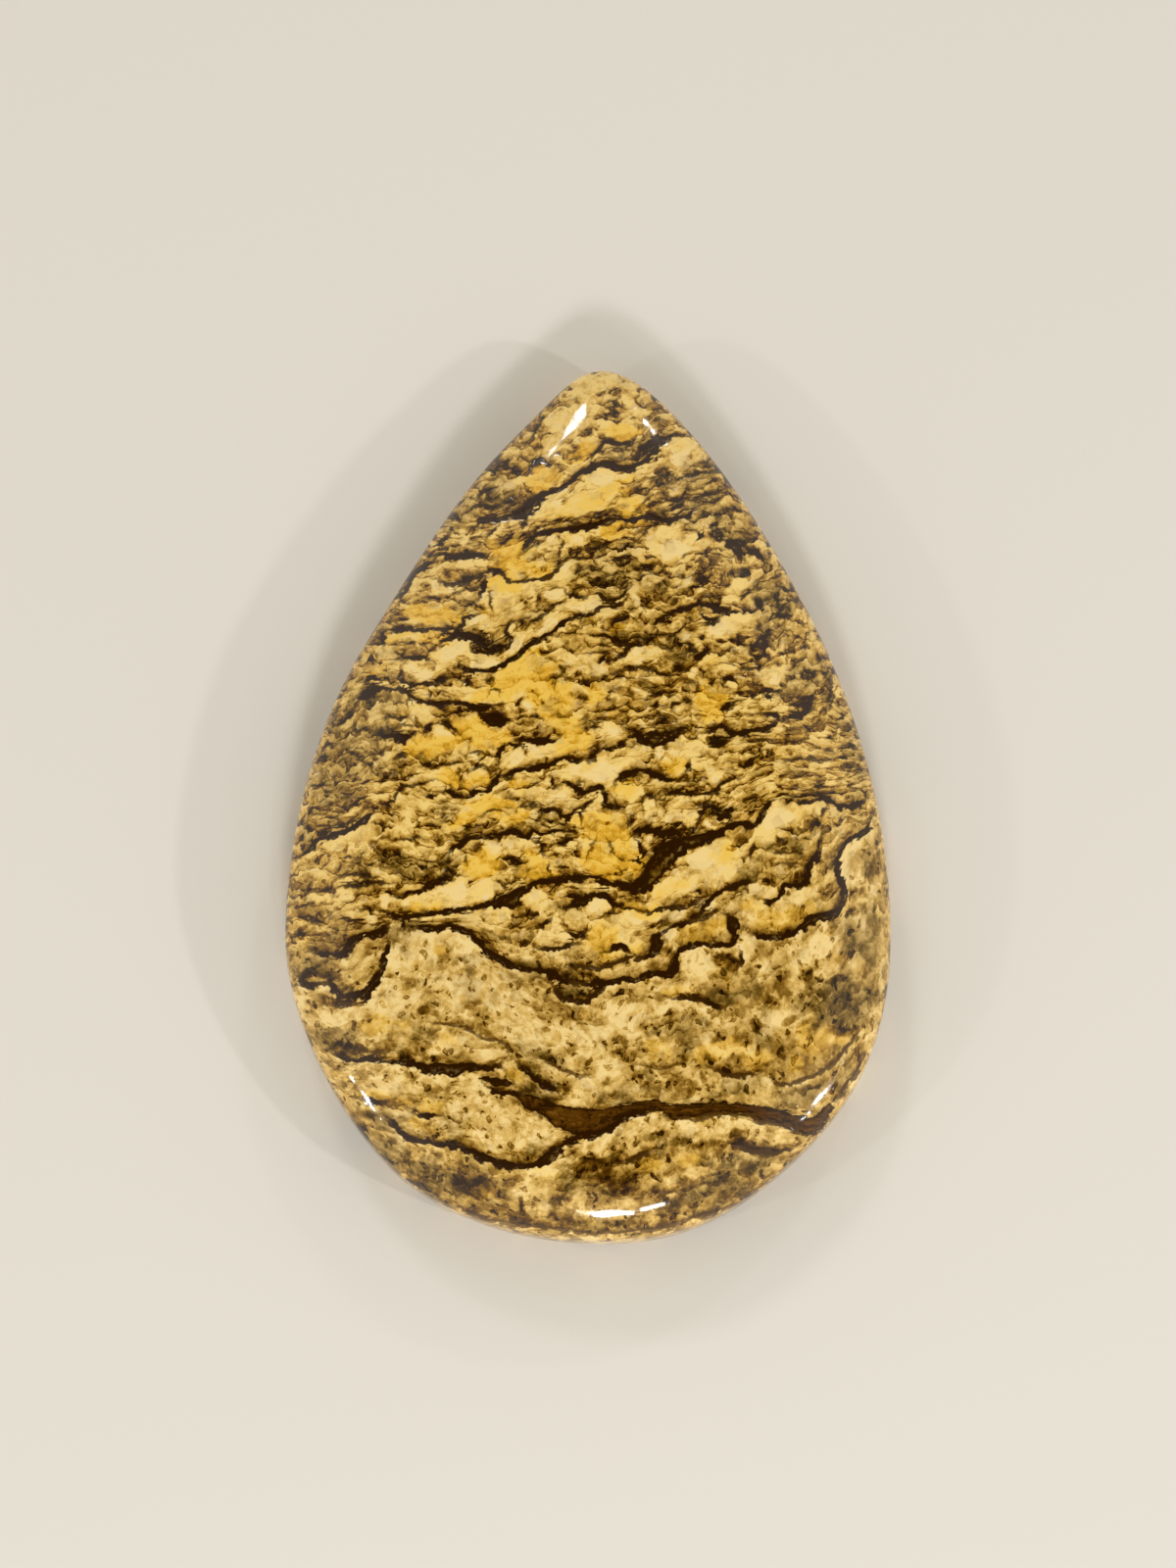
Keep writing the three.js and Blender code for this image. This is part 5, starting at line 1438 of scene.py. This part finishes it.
@dataclass(frozen=True)
class Rock:
    """The rock at each place, as the shader knows it.

    Args:
        bench: Where the nodes are laid out.
        place: The place in the rock: across, along and inwards, in millimetres.
        bent: The same, crumpled.
        level: Its level in the pile of beds.
        bedded: 0 in massive rock, 1 in bedded rock.
        tints: The pale, ochre and dusky tints.
        crinkle: Noise nearly a millimetre across, either side of 0.
        fine: Fine noise, either side of 0.
    """

    bench: Bench
    place: Signal
    bent: Signal
    level: Signal
    bedded: Signal
    tints: Signal
    crinkle: Signal
    fine: Signal

    def spots(self, place: Signal, kind: Spots) -> Signal:
        """Scatter round spots.

        Args:
            place: The place in the rock, bent or not.
            kind: What the spots are like.

        Returns:
            0 between the spots, their strength in them.
        """
        spot = self.bench.cells(place, kind.fineness, "Distance").fall(*kind.edge)
        draw = self.bench.part(self.bench.cells(place, kind.fineness, "Color"), "Z")
        return spot * draw.rise(kind.bare, kind.bare + DRAW_EDGE) * kind.strength

    def flakes(self, stretch: Stretch) -> tuple[Signal, Signal]:
        """Break the rock into flakes, each pale at its top and dark at its foot.

        Args:
            stretch: Flakes to the millimetre.

        Returns:
            Each flake's tone, from about -1 to 1, and the dark line under it, 1 in the line.
        """
        bench = self.bench
        where = bench.vector("MULTIPLY", self.bent, stretch)
        middle = bench.cells(where, 1.0, "Position")
        up = bench.part(bench.vector("SUBTRACT", where, middle), "Y")
        own = bench.part(bench.cells(where, 1.0, "Color"), "X") - 0.5
        edge = bench.cells(where, 1.0, "Distance", "DISTANCE_TO_EDGE")
        return own + up * FLAKE_TOP, edge.fall(*FOOT_LINE) * up.fall(*UNDER_FLAKE)

    def sheets(self, beds: Beds, drift: Signal) -> Signal:
        """Lay thin beds, each pale under its top and dark in the joint above it.

        Args:
            beds: What they are like.
            drift: A broad noise that they lie on.

        Returns:
            What they add to the tone.
        """
        bench = self.bench
        here = bench.noise(self.bent, beds.stretch)
        above = bench.noise(bench.vector("ADD", self.bent, (0.0, beds.joint, 0.0)), beds.stretch)
        crinkled = self.level * beds.climb + drift * beds.drift + here * beds.swell
        gain = (above - here) * beds.swell + beds.climb * beds.joint
        joint = (crinkled + gain).whole() - crinkled.whole()
        kept = bench.noise(self.bent, JOINTS).rise(*JOINT_EDGE).between(*KEPT_JOINTS)
        climb = crinkled.fraction()
        dark = climb.fall(0.0, beds.foot_share) * kept * beds.foot + joint * kept * beds.dark
        return (climb - 0.5) * beds.body - dark


SHEETS = Beds(0.6, (1.0, 0.9, 1.0), 1.3, 0.28)
LEAVES = Beds(0.9, (1.5, 1.2, 1.5), 1.2, 0.17)
FLECKS = Spots(1.8, (0.14, 0.26), 0.5, 0.22)
KNOTS = Spots(1.15, (0.2, 0.36), 0.62, 0.3)
DOTS = Spots(2.6, (0.16, 0.28), 0.5)
FROST = Spots(1.5, (0.16, 0.4), 0.6, 0.3)


@dataclass(frozen=True)
class PolishedJasper:
    """Jasper polished to a gloss, which reads its markings from the mesh.

    A tone goes from 0, dark, to 1, cream. Unless it says otherwise, a pair is for massive rock
    and for bedded rock.

    Args:
        ground: The ground's middle tone.
        lift: What each rock adds to it.
        pale: What the pale tint adds.
        chip: What a bright chip adds to that.
        ochre: What the ochre tint adds.
        dusk: What the dusky tint takes away.
        rim: What the lower rim takes away: partly its own darker tone, partly painted shade that
            offsets the front lamp's light on the rim.
        below_vein: What the pale edge below a vein adds.
        vein_shade: What the shade close around a vein takes away.
        cloud: How strong the clouds are.
        fine: How strong the fine noise is.
        flake: How strong the flakes' own tones are.
        crumb: How strong the crumbs' own tones are.
        bedding: How strong the beds are.
        mottle: How strong the mottles are.
        ochre_colour: How far the ochre tint changes the colour.
        grey_colour: How far the grey tint changes it.
        grey_darker: How much darker the grey tint is.
        drift_colour: How far the colours drift.
        cell_colour: How far single grains turn to ochre and to grey.
        frayed_by: How far clouds and flakes fray the edges of the tints.
        calmed_by: How far the pale and ochre tints calm the grain.
        calm_flakes: How far calm rock hides its flakes.
        calm_stones: How far it hides its dark stones.
        crumpled: How far the grain is crumpled, in millimetres.
        soft: The share of the tone that is softened towards its ends.
        wobble: How far the crinkles and the jags move a vein's edges, in millimetres.
        ragged: How far the jags change a vein's width, as a share of it.
        worn_by: How far pits and veins wear the polish.
        raised_by: How far swells, fine noise, veins and pits raise the polished surface.
        ink: The colour of the dark veins.
        thin_ink: The colour of the thin veins of the massive rock.
        thin_share: How far they take on that colour.
        amber_darker: How much darker the amber veins are than the ground.
        amber_share: How far they follow its tone.
        amber_edge: How much darker they are at their edges.
        gloss: The roughness where the polish is best.
        worn: The roughness where it is poorest.
        relief: The height that the unevenness of the polish is a share of, in metres.
        relief_share: How far it is felt.
        refraction: The index of refraction.
    """

    ground: float = 0.655
    lift: tuple[float, float] = (-0.05, 0.08)
    pale: float = 0.2
    chip: float = 0.26
    ochre: tuple[float, float] = (0.08, 0.16)
    dusk: float = 0.3
    rim: float = 0.12
    below_vein: float = 0.28
    vein_shade: tuple[float, float] = (0.04, 0.18)
    cloud: tuple[float, float] = (0.7, 0.5)
    fine: tuple[float, float] = (0.42, 0.25)
    flake: tuple[float, float] = (0.1, 0.34)
    crumb: float = 0.22
    bedding: tuple[float, float] = (0.15, 1.0)
    mottle: tuple[float, float] = (1.0, 0.2)
    ochre_colour: tuple[float, float] = (0.5, 0.85)
    grey_colour: float = 0.65
    grey_darker: float = 0.04
    drift_colour: float = 1.1
    cell_colour: tuple[float, float] = (0.3, 0.6)
    frayed_by: tuple[float, float] = (0.7, 0.35)
    calmed_by: tuple[float, float] = (0.7, 0.45)
    calm_flakes: float = 0.6
    calm_stones: float = 0.7
    crumpled: float = 1.3
    soft: float = 0.38
    wobble: tuple[float, float] = (0.72, 0.36)
    ragged: float = 0.8
    worn_by: tuple[float, float] = (0.6, 0.25)
    raised_by: tuple[float, float, float, float] = (6.0, 0.12, -0.25, -0.3)
    ink: Colour = screen_colour(45, 22, 0)
    thin_ink: Colour = screen_colour(98, 66, 18)
    thin_share: float = 0.85
    amber_darker: float = 0.25
    amber_share: float = 0.9
    amber_edge: float = 0.4
    gloss: float = 0.07
    worn: float = 0.22
    relief: float = 0.06 * MM
    relief_share: float = 0.25
    refraction: float = 1.54

    def dress(self, piece: bpy.types.Object) -> None:
        """Give a piece this finish.

        Args:
            piece: The piece, with its fields stored on its mesh.
        """
        material = bpy.data.materials.new("polished picture jasper")
        material.use_nodes = True
        material.node_tree.nodes.clear()
        bench = Bench(material.node_tree)
        rock = self._rock(bench)
        jag = bench.noise(rock.place, JAGS) - 0.5
        wobble = rock.crinkle * self.wobble[0] + jag * self.wobble[1]
        half = bench.stored("vein_half")
        ink_gap = abs(bench.stored("vein_across") + wobble) - half * (1 + jag * self.ragged)
        tone = self._tone(rock) - ink_gap.fall(*INK_SHADE) * rock.bedded.between(*self.vein_shade)
        colour = self._with_amber(rock, wobble, tone, self._colour(rock, tone))
        cover = self._ink_cover(rock, ink_gap, half)
        thin = half.fall(*INK_THIN) * (1 - rock.bedded) * self.thin_share
        colour = bench.blend(cover, colour, bench.blend(thin, self.ink, self.thin_ink))
        pits = bench.noise(rock.place, PITS, 2.0).rise(*PIT_EDGE)
        wear = pits * self.worn_by[0] + cover * self.worn_by[1]
        roughness = self.gloss + (self.worn - self.gloss) * wear
        surfaces = (bench.noise(rock.place, SWELLS), rock.fine, cover, pits)
        height = sum(surface * share for surface, share in zip(surfaces, self.raised_by))
        relief = {"Height": height, "Strength": self.relief_share, "Distance": self.relief}
        bump = bench.add("ShaderNodeBump", {}, relief, "Normal")
        sockets = {"Base Color": colour, "Roughness": roughness, "Normal": bump}
        sockets["IOR"] = self.refraction
        shader = bench.add("ShaderNodeBsdfPrincipled", {}, sockets, "BSDF")
        end = bench.tree.nodes.new("ShaderNodeOutputMaterial")
        bench.tree.links.new(shader.socket, end.inputs["Surface"])
        piece.data.materials.clear()
        piece.data.materials.append(material)

    def _rock(self, bench: Bench) -> Rock:
        """Read the rock at each place.

        Args:
            bench: Where the nodes are laid out.

        Returns:
            The rock.
        """
        place = bench.stored("rock", "Vector")
        bend = bench.noise(place, CRUMPLES, 2.0, "Color")
        bend = bench.vector("SUBTRACT", bend, (0.5, 0.5, 0.5))
        level = bench.stored("bed")
        return Rock(
            bench=bench,
            place=place,
            bent=bench.vector("ADD", place, bench.scaled(bend, self.crumpled)),
            level=level,
            bedded=level.rise(*BEDDED_FROM),
            tints=bench.stored("tints", "Vector"),
            crinkle=bench.noise(place, CRINKLES, 2.0) - 0.5,
            fine=bench.noise(place, FINE, 3.0, roughness=0.7) - 0.5,
        )

    def _ink_cover(self, rock: Rock, gap: Signal, half: Signal) -> Signal:
        """Find where the ink veins cover the ground.

        Args:
            rock: The rock.
            gap: The wavering gap to the nearest ink vein.
            half: Half that vein's width.

        Returns:
            0 on the ground, 1 where a vein is fully dark.
        """
        heart = gap.rise(*INK_HEART).between(*KEPT_HEART)
        nearby = rock.bench.stored(VeinKind.INK.value).fall(*INK_NEARBY)
        broken = (rock.crinkle + rock.fine).rise(*INK_BREAK).between(*KEPT_BROKEN)
        strong = half.rise(*INK_FULL).between(*KEPT_THIN_INK)
        return gap.fall(*INK_EDGE) * broken * heart * nearby * strong

    def _with_amber(self, rock: Rock, wobble: Signal, tone: Signal, colour: Signal) -> Signal:
        """Lay the amber veins over the ground.

        Args:
            rock: The rock.
            wobble: How far the veins' edges waver.
            tone: The ground's tone.
            colour: The ground's colour.

        Returns:
            The colour with the veins.
        """
        gap = rock.bench.stored(VeinKind.AMBER.value) + wobble
        own = (tone - self.amber_darker) * self.amber_share + rock.fine * 0.5
        filling = rock.bench.ramp(own - gap.rise(*AMBER_DEPTH) * self.amber_edge, AMBER_STOPS)
        return rock.bench.blend(gap.fall(*AMBER_EDGE), colour, filling)

    def _tone(self, rock: Rock) -> Signal:
        """Work out how pale the ground is.

        Args:
            rock: The rock.

        Returns:
            The tone, from 0, dark, to 1, cream.
        """
        bench = rock.bench
        bedded = rock.bedded
        cloud = bench.noise(rock.place, CLOUDS, 2.0) - 0.5
        flakes, flake_feet = rock.flakes(FLAKES)
        crumbs, crumb_feet = rock.flakes(CRUMBS)
        frayed = cloud * self.frayed_by[0] + flakes * self.frayed_by[1]
        pale = (bench.part(rock.tints, "X") + frayed).rise(*TINT_EDGE)
        ochre = (bench.part(rock.tints, "Y") + frayed).rise(*TINT_EDGE)
        dusk = (bench.part(rock.tints, "Z") + frayed).rise(*DUSK_EDGE)
        chips = bench.part(rock.tints, "X").rise(*CHIP_FROM)
        calm = pale * self.calmed_by[0] + ochre * self.calmed_by[1]
        tone = self.ground + pale * self.pale + chips * self.chip - dusk * self.dusk
        tone = tone + ochre * bedded.between(*self.ochre) + bedded.between(*self.lift)
        # The lower rim is darkened: partly the rock's own darker tone, partly painted shade that
        # offsets the front lamp, which lights the rim more than the face.
        tone = tone - rock.level.fall(*RIM_TONE_AND_SHADE_UP_TO) * self.rim
        tone = tone + self._bedding(rock, calm) * bedded.between(*self.bedding)
        tone = tone + cloud * bedded.between(*self.cloud) + rock.fine * bedded.between(*self.fine)
        broken = flakes * bedded.between(*self.flake) + crumbs * self.crumb
        tone = tone + broken * (1 - calm * self.calm_flakes)
        rubble = bench.noise(rock.bent, RUBBLE, 3.0)
        dark_stones = rubble.fall(*DARK_STONE_EDGE) * DARK_STONES * (1 - calm * self.calm_stones)
        stones = rubble.rise(*PALE_STONE_EDGE) * PALE_STONES - dark_stones
        knots = (rock.spots(rock.bent, KNOTS) + flake_feet * FLAKE_FOOT) * (1 - calm)
        scales = (crumb_feet * SCALE_FOOT - crumbs * SCALE_TOP) * dusk
        tone = tone + (stones + rock.spots(rock.bent, FLECKS) - knots - scales) * bedded
        tone = tone + self._mottle(rock) * bedded.between(*self.mottle)
        tone = tone - bench.stored("dark_above") * (ABOVE_VEIN + rock.crinkle * ABOVE_VEIN_CRINKLE)
        tone = tone + bench.stored("pale_below") * self.below_vein
        return tone * (1 - self.soft) + tone.rise(0.0, 1.0) * self.soft

    def _bedding(self, rock: Rock, calm: Signal) -> Signal:
        """Lay the thin beds and the leaves between them.

        Args:
            rock: The rock.
            calm: Where they are faint: 0 where they are full.

        Returns:
            What they add to the tone.
        """
        bench = rock.bench
        drift = bench.noise(rock.place, BROAD_DRIFT) - 0.5
        here_and_there = bench.noise(rock.place, CLEARINGS).rise(*HALF_EDGE).between(*KEPT_LEAVES)
        leaves = rock.sheets(LEAVES, drift) * here_and_there * (1 - calm)
        clear = bench.stored(VeinKind.INK.value).rise(*CLEAR_OF_VEINS)
        seen = rock.sheets(SHEETS, drift) * (SHEETS_SEEN - calm) + leaves * LEAVES_SEEN
        return seen * clear.between(*KEPT_BY_VEINS)

    def _mottle(self, rock: Rock) -> Signal:
        """Mottle the massive rock with cream islands, brown blotches, rings and dark dots.

        Args:
            rock: The rock.

        Returns:
            What they add to the tone.
        """
        bench = rock.bench
        islands = bench.noise(rock.place, ISLANDS, 3.0).rise(*ISLAND_EDGE)
        blotches = bench.noise(rock.bent, BLOTCHES, 3.0).rise(*BLOTCH_EDGE)
        distance = bench.cells(rock.bent, RINGS, "Distance")
        kept = bench.part(bench.cells(rock.bent, RINGS, "Color"), "Y").rise(*RING_DRAW)
        hollow = distance.rise(*RING_INSIDE).between(*KEPT_RING)
        rings = distance.fall(*RING_OUTSIDE) * hollow * kept
        busy = bench.noise(rock.place, BUSY_PLACES, 2.0).rise(*HALF_EDGE)
        dots = rock.spots(rock.bent, DOTS) * busy.between(*DOT)
        return islands * ISLAND - blotches * busy.between(*BLOTCH) - rings * RING - dots

    def _colour(self, rock: Rock, tone: Signal) -> Signal:
        """Colour the ground by its tone and tints.

        Args:
            rock: The rock.
            tone: The tone.

        Returns:
            The colour.
        """
        bench = rock.bench
        drift = bench.noise(rock.place, COLOUR_DRIFT, 3.0) - 0.5 + rock.crinkle * 0.5
        drift = drift * self.drift_colour
        draws = bench.cells(rock.place, COLOUR_CELLS, "Color")
        sunny = bench.part(draws, "Y").rise(*SUNNY_DRAW) * self.cell_colour[0]
        sombre = bench.part(draws, "Z").rise(*SOMBRE_DRAW) * self.cell_colour[1]
        ochre = (bench.part(rock.tints, "Y") + drift + sunny).rise(*OCHRE_EDGE)
        grey = (bench.stored("grey_tint") + drift + sombre).rise(*GREY_EDGE)
        colour = bench.ramp(tone, TAN_STOPS)
        yellowed = ochre * rock.bedded.between(*self.ochre_colour)
        colour = bench.blend(yellowed, colour, bench.ramp(tone, OCHRE_STOPS))
        greyed = bench.ramp(tone - self.grey_darker, GREY_STOPS)
        colour = bench.blend(grey * self.grey_colour, colour, greyed)
        warm = rock.bedded * bench.part(rock.tints, "X").rise(*CHIP_FROM).between(*KEPT_WARMTH)
        colour = bench.blend(warm, colour, bench.vector("MULTIPLY", colour, WARMTH))
        frost = rock.spots(rock.place, FROST) * rock.bedded * (1 - ochre)
        return bench.blend(frost, colour, bench.ramp(tone, FROST_STOPS))


@dataclass(frozen=True)
class MattPaper:
    """A pale, plain, matt surface.

    Args:
        colour: Its colour.
        roughness: Its roughness.
    """

    colour: Colour = PAPER
    roughness: float = 0.9

    def dress(self, piece: bpy.types.Object) -> None:
        """Give a piece this finish.

        Args:
            piece: The piece.
        """
        material = bpy.data.materials.new("pale matt paper")
        material.use_nodes = True
        shader = material.node_tree.nodes["Principled BSDF"]
        shader.inputs["Base Color"].default_value = self.colour
        shader.inputs["Roughness"].default_value = self.roughness
        piece.data.materials.append(material)


# --- The stone -----------------------------------------------------------------------------


def select_only(piece: bpy.types.Object) -> None:
    """Select one object and make it the active one.

    Args:
        piece: The object.
    """
    bpy.ops.object.select_all(action="DESELECT")
    piece.select_set(True)
    bpy.context.view_layer.objects.active = piece


def apply_modifier(piece: bpy.types.Object, kind: str, **settings: object) -> None:
    """Add a modifier to a piece and apply it.

    Args:
        piece: The piece.
        kind: The modifier's type.
        settings: What it is set to.
    """
    select_only(piece)
    modifier = piece.modifiers.new(kind.lower(), kind)
    for name, value in settings.items():
        setattr(modifier, name, value)
    bpy.ops.object.modifier_apply(modifier=modifier.name)


@dataclass
class JasperStone:
    """The stone: its smooth skin, its markings and its finish.

    Args:
        solid: The solid that it stands for.
        pattern: Its markings.
        finish: Its finish.
        voxel: How fine its skin is, in metres.
        smoothing: How many times the solid's faces are halved for the smooth guide.
        merge: Corners closer than this are one, in metres.
        face_from: The skin is twice as fine above this height, in metres.
        face_lean: It is so only where its faces look up by more than this, 1 being straight up.
    """

    solid: bpy.types.Object
    pattern: RockPattern
    finish: PolishedJasper = field(default_factory=PolishedJasper)
    voxel: float = 0.355 * MM
    smoothing: int = 2
    merge: float = 0.001 * MM
    face_from: float = 2.8 * MM
    face_lean: float = 0.2

    def build(self) -> bpy.types.Object:
        """Model, mark and dress the stone.

        Returns:
            The finished piece.
        """
        guide = self._smooth_copy("guide")
        piece = guide.copy()
        piece.data = guide.data.copy()
        piece.name = "picture_jasper_stone"
        bpy.context.collection.objects.link(piece)
        apply_modifier(piece, "REMESH", mode="VOXEL", voxel_size=self.voxel)
        self._refine_face(piece)
        apply_modifier(piece, "SHRINKWRAP", target=guide, wrap_method="NEAREST_SURFACEPOINT")
        bpy.data.objects.remove(guide)
        select_only(piece)
        bpy.ops.object.shade_smooth()
        self._mark(piece)
        self.finish.dress(piece)
        return piece

    def _smooth_copy(self, name: str) -> bpy.types.Object:
        """Copy the solid, merge its triangles and smooth them.

        Args:
            name: What the copy is called.

        Returns:
            The copy.
        """
        copy = self.solid.copy()
        copy.data = self.solid.data.copy()
        copy.name = name
        copy.parent = None
        copy.matrix_world = Matrix.Identity(4)
        for key in list(copy.keys()):
            del copy[key]
        bpy.context.collection.objects.link(copy)
        select_only(copy)
        bpy.ops.object.mode_set(mode="EDIT")
        bpy.ops.mesh.select_all(action="SELECT")
        bpy.ops.mesh.remove_doubles(threshold=self.merge)
        bpy.ops.mesh.tris_convert_to_quads()
        bpy.ops.object.mode_set(mode="OBJECT")
        apply_modifier(copy, "SUBSURF", levels=self.smoothing, render_levels=self.smoothing)
        return copy

    def _refine_face(self, piece: bpy.types.Object) -> None:
        """Halve the faces that the marks are seen on.

        Args:
            piece: The piece.
        """
        mesh = piece.data
        normals = np.empty(len(mesh.polygons) * 3)
        mesh.polygons.foreach_get("normal", normals)
        centres = np.empty(len(mesh.polygons) * 3)
        mesh.polygons.foreach_get("center", centres)
        level = normals.reshape(-1, 3)[:, 2] > self.face_lean
        high = centres.reshape(-1, 3)[:, 2] > self.face_from
        select_only(piece)
        bpy.ops.object.mode_set(mode="EDIT")
        bpy.ops.mesh.select_mode(type="FACE")
        bpy.ops.mesh.select_all(action="DESELECT")
        bpy.ops.object.mode_set(mode="OBJECT")
        mesh.polygons.foreach_set("select", level & high)
        bpy.ops.object.mode_set(mode="EDIT")
        bpy.ops.mesh.subdivide(number_cuts=1)
        bpy.ops.object.mode_set(mode="OBJECT")

    def _mark(self, piece: bpy.types.Object) -> None:
        """Store the markings on the mesh, as fields that the finish reads.

        Args:
            piece: The piece.
        """
        mesh = piece.data
        points = np.empty(len(mesh.vertices) * 3)
        mesh.vertices.foreach_get("co", points)
        u, v, depth = self.pattern.places(points.reshape(-1, 3) / MM)
        tints = self.pattern.tints(u, v)
        fields = self.pattern.vein_fields(u, v)
        fields["bed"] = self.pattern.beds(u, v)
        fields["grey_tint"] = tints[:, Tint.GREY.value]
        rock = np.stack((u, (v + fields["bed"]) / 2, depth), axis=1)
        for name, values in fields.items():
            store = mesh.attributes.new(name, "FLOAT", "POINT")
            store.data.foreach_set("value", values.astype(np.float32))
        for name, values in {"rock": rock, "tints": tints[:, :3]}.items():
            store = mesh.attributes.new(name, "FLOAT_VECTOR", "POINT")
            store.data.foreach_set("vector", values.astype(np.float32).ravel())


# --- The studio ----------------------------------------------------------------------------


@dataclass(frozen=True)
class Lamp:
    """A soft square light.

    Args:
        name: What it is called.
        azimuth: Where it stands, in degrees from the front towards the right.
        elevation: How high it stands, in degrees.
        distance: How far from the stone, in metres.
        size: Its sides, in metres.
        power: Its power, in watts.
    """

    name: str
    azimuth: float
    elevation: float
    distance: float
    size: tuple[float, float]
    power: float


@dataclass
class Studio:
    """A pale floor, soft lamps and the camera.

    Args:
        floor_size: The floor's side, in metres.
        ambient: How strong the light from all round is.
        overhead: How strong it is from straight above.
        ceiling: How high the walls end and the ceiling begins, 1 being straight above.
        aim: What the lamps and the camera look at, in metres.
        camera_distance: How far the camera is from that.
        camera_tilt: How far it leans towards the front from straight above, in degrees.
        lens: Its focal length, in millimetres.
        lamps: The lamps.
    """

    floor_size: float = 3.0
    ambient: float = 0.7
    overhead: float = 0.015
    ceiling: tuple[float, float] = (0.75, 0.92)
    aim: Vector = field(default_factory=lambda: Vector((0.0, 0.5, 3.0)) * MM)
    camera_distance: float = 0.2325
    camera_tilt: float = 15.0
    lens: float = 80.0
    lamps: tuple[Lamp, ...] = (
        Lamp("front", 3.0, 33.0, 0.5, (0.07, 0.05), 0.75),
        Lamp("front right", 14.0, 36.0, 0.5, (0.03, 0.03), 0.15),
        Lamp("right", 62.0, 28.0, 0.5, (0.018, 0.018), 0.4),
        Lamp("left", -64.0, 26.0, 0.5, (0.014, 0.014), 0.2),
        Lamp("back left", -162.0, 35.0, 0.6, (0.1, 0.06), 0.45),
        Lamp("back right", 156.0, 29.0, 0.6, (0.03, 0.03), 0.2),
    )

    def build(self) -> None:
        """Set the camera, the lamps, the light from all round and the floor."""
        self._set_camera()
        for lamp in self.lamps:
            self._hang(lamp)
        bpy.context.scene.world = self._surroundings()
        bpy.context.scene.view_settings.view_transform = "Standard"
        bpy.ops.object.select_all(action="DESELECT")
        bpy.ops.mesh.primitive_plane_add(size=self.floor_size)
        floor = bpy.context.object
        floor.name = "floor"
        MattPaper().dress(floor)
        LOG.info("%s: %.1f m square", floor.name, self.floor_size)

    def _surroundings(self) -> bpy.types.World:
        """Make pale walls under a dark ceiling, which keeps the polish from looking milky.

        Returns:
            The world.
        """
        world = bpy.data.worlds.new("studio")
        world.use_nodes = True
        bench = Bench(world.node_tree)
        height = bench.part(bench.add("ShaderNodeTexCoord", {}, {}, "Generated"), "Z")
        strength = height.rise(*self.ceiling).between(self.ambient, self.overhead)
        background = world.node_tree.nodes["Background"]
        background.inputs["Color"].default_value = DAYLIGHT
        world.node_tree.links.new(strength.socket, background.inputs["Strength"])
        return world

    def _set_camera(self) -> None:
        """Put the camera where it sees the whole face, a little from the front."""
        tilt = math.radians(self.camera_tilt)
        way = Vector((0.0, -math.sin(tilt), math.cos(tilt)))
        data = bpy.data.cameras.new("camera")
        data.lens = self.lens
        camera = bpy.data.objects.new("camera", data)
        camera.location = self.aim + way * self.camera_distance
        camera.rotation_euler = (tilt, 0.0, 0.0)
        bpy.context.scene.collection.objects.link(camera)
        bpy.context.scene.camera = camera

    def _hang(self, lamp: Lamp) -> None:
        """Hang one lamp and point it at the stone.

        Args:
            lamp: The lamp.
        """
        data = bpy.data.lights.new(lamp.name, "AREA")
        data.shape = "RECTANGLE"
        data.size, data.size_y = lamp.size
        data.energy = lamp.power
        azimuth = math.radians(lamp.azimuth)
        elevation = math.radians(lamp.elevation)
        level = math.cos(elevation)
        way = Vector((level * math.sin(azimuth), -level * math.cos(azimuth), math.sin(elevation)))
        light = bpy.data.objects.new(lamp.name, data)
        light.location = self.aim + way * lamp.distance
        light.rotation_euler = way.to_track_quat("Z", "Y").to_euler()
        bpy.context.scene.collection.objects.link(light)


def main() -> None:
    """Build the studio and the stone."""
    logging.basicConfig(level=logging.INFO, format="%(name)s: %(message)s")
    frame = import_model()
    Studio().build()
    pattern = RockPattern(drawn_veins(), drawn_patches(), drawn_horizons())
    stone = JasperStone(frame["nodes"][STONE_NODE], pattern).build()
    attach(stone, "root")
    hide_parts(STONE_NODE)
    stone.data.calc_loop_triangles()
    LOG.info("%s: %d triangles, %d veins, %d patches", stone.name,
             len(stone.data.loop_triangles), len(pattern.veins), len(pattern.patches))


if __name__ == "__main__":
    main()
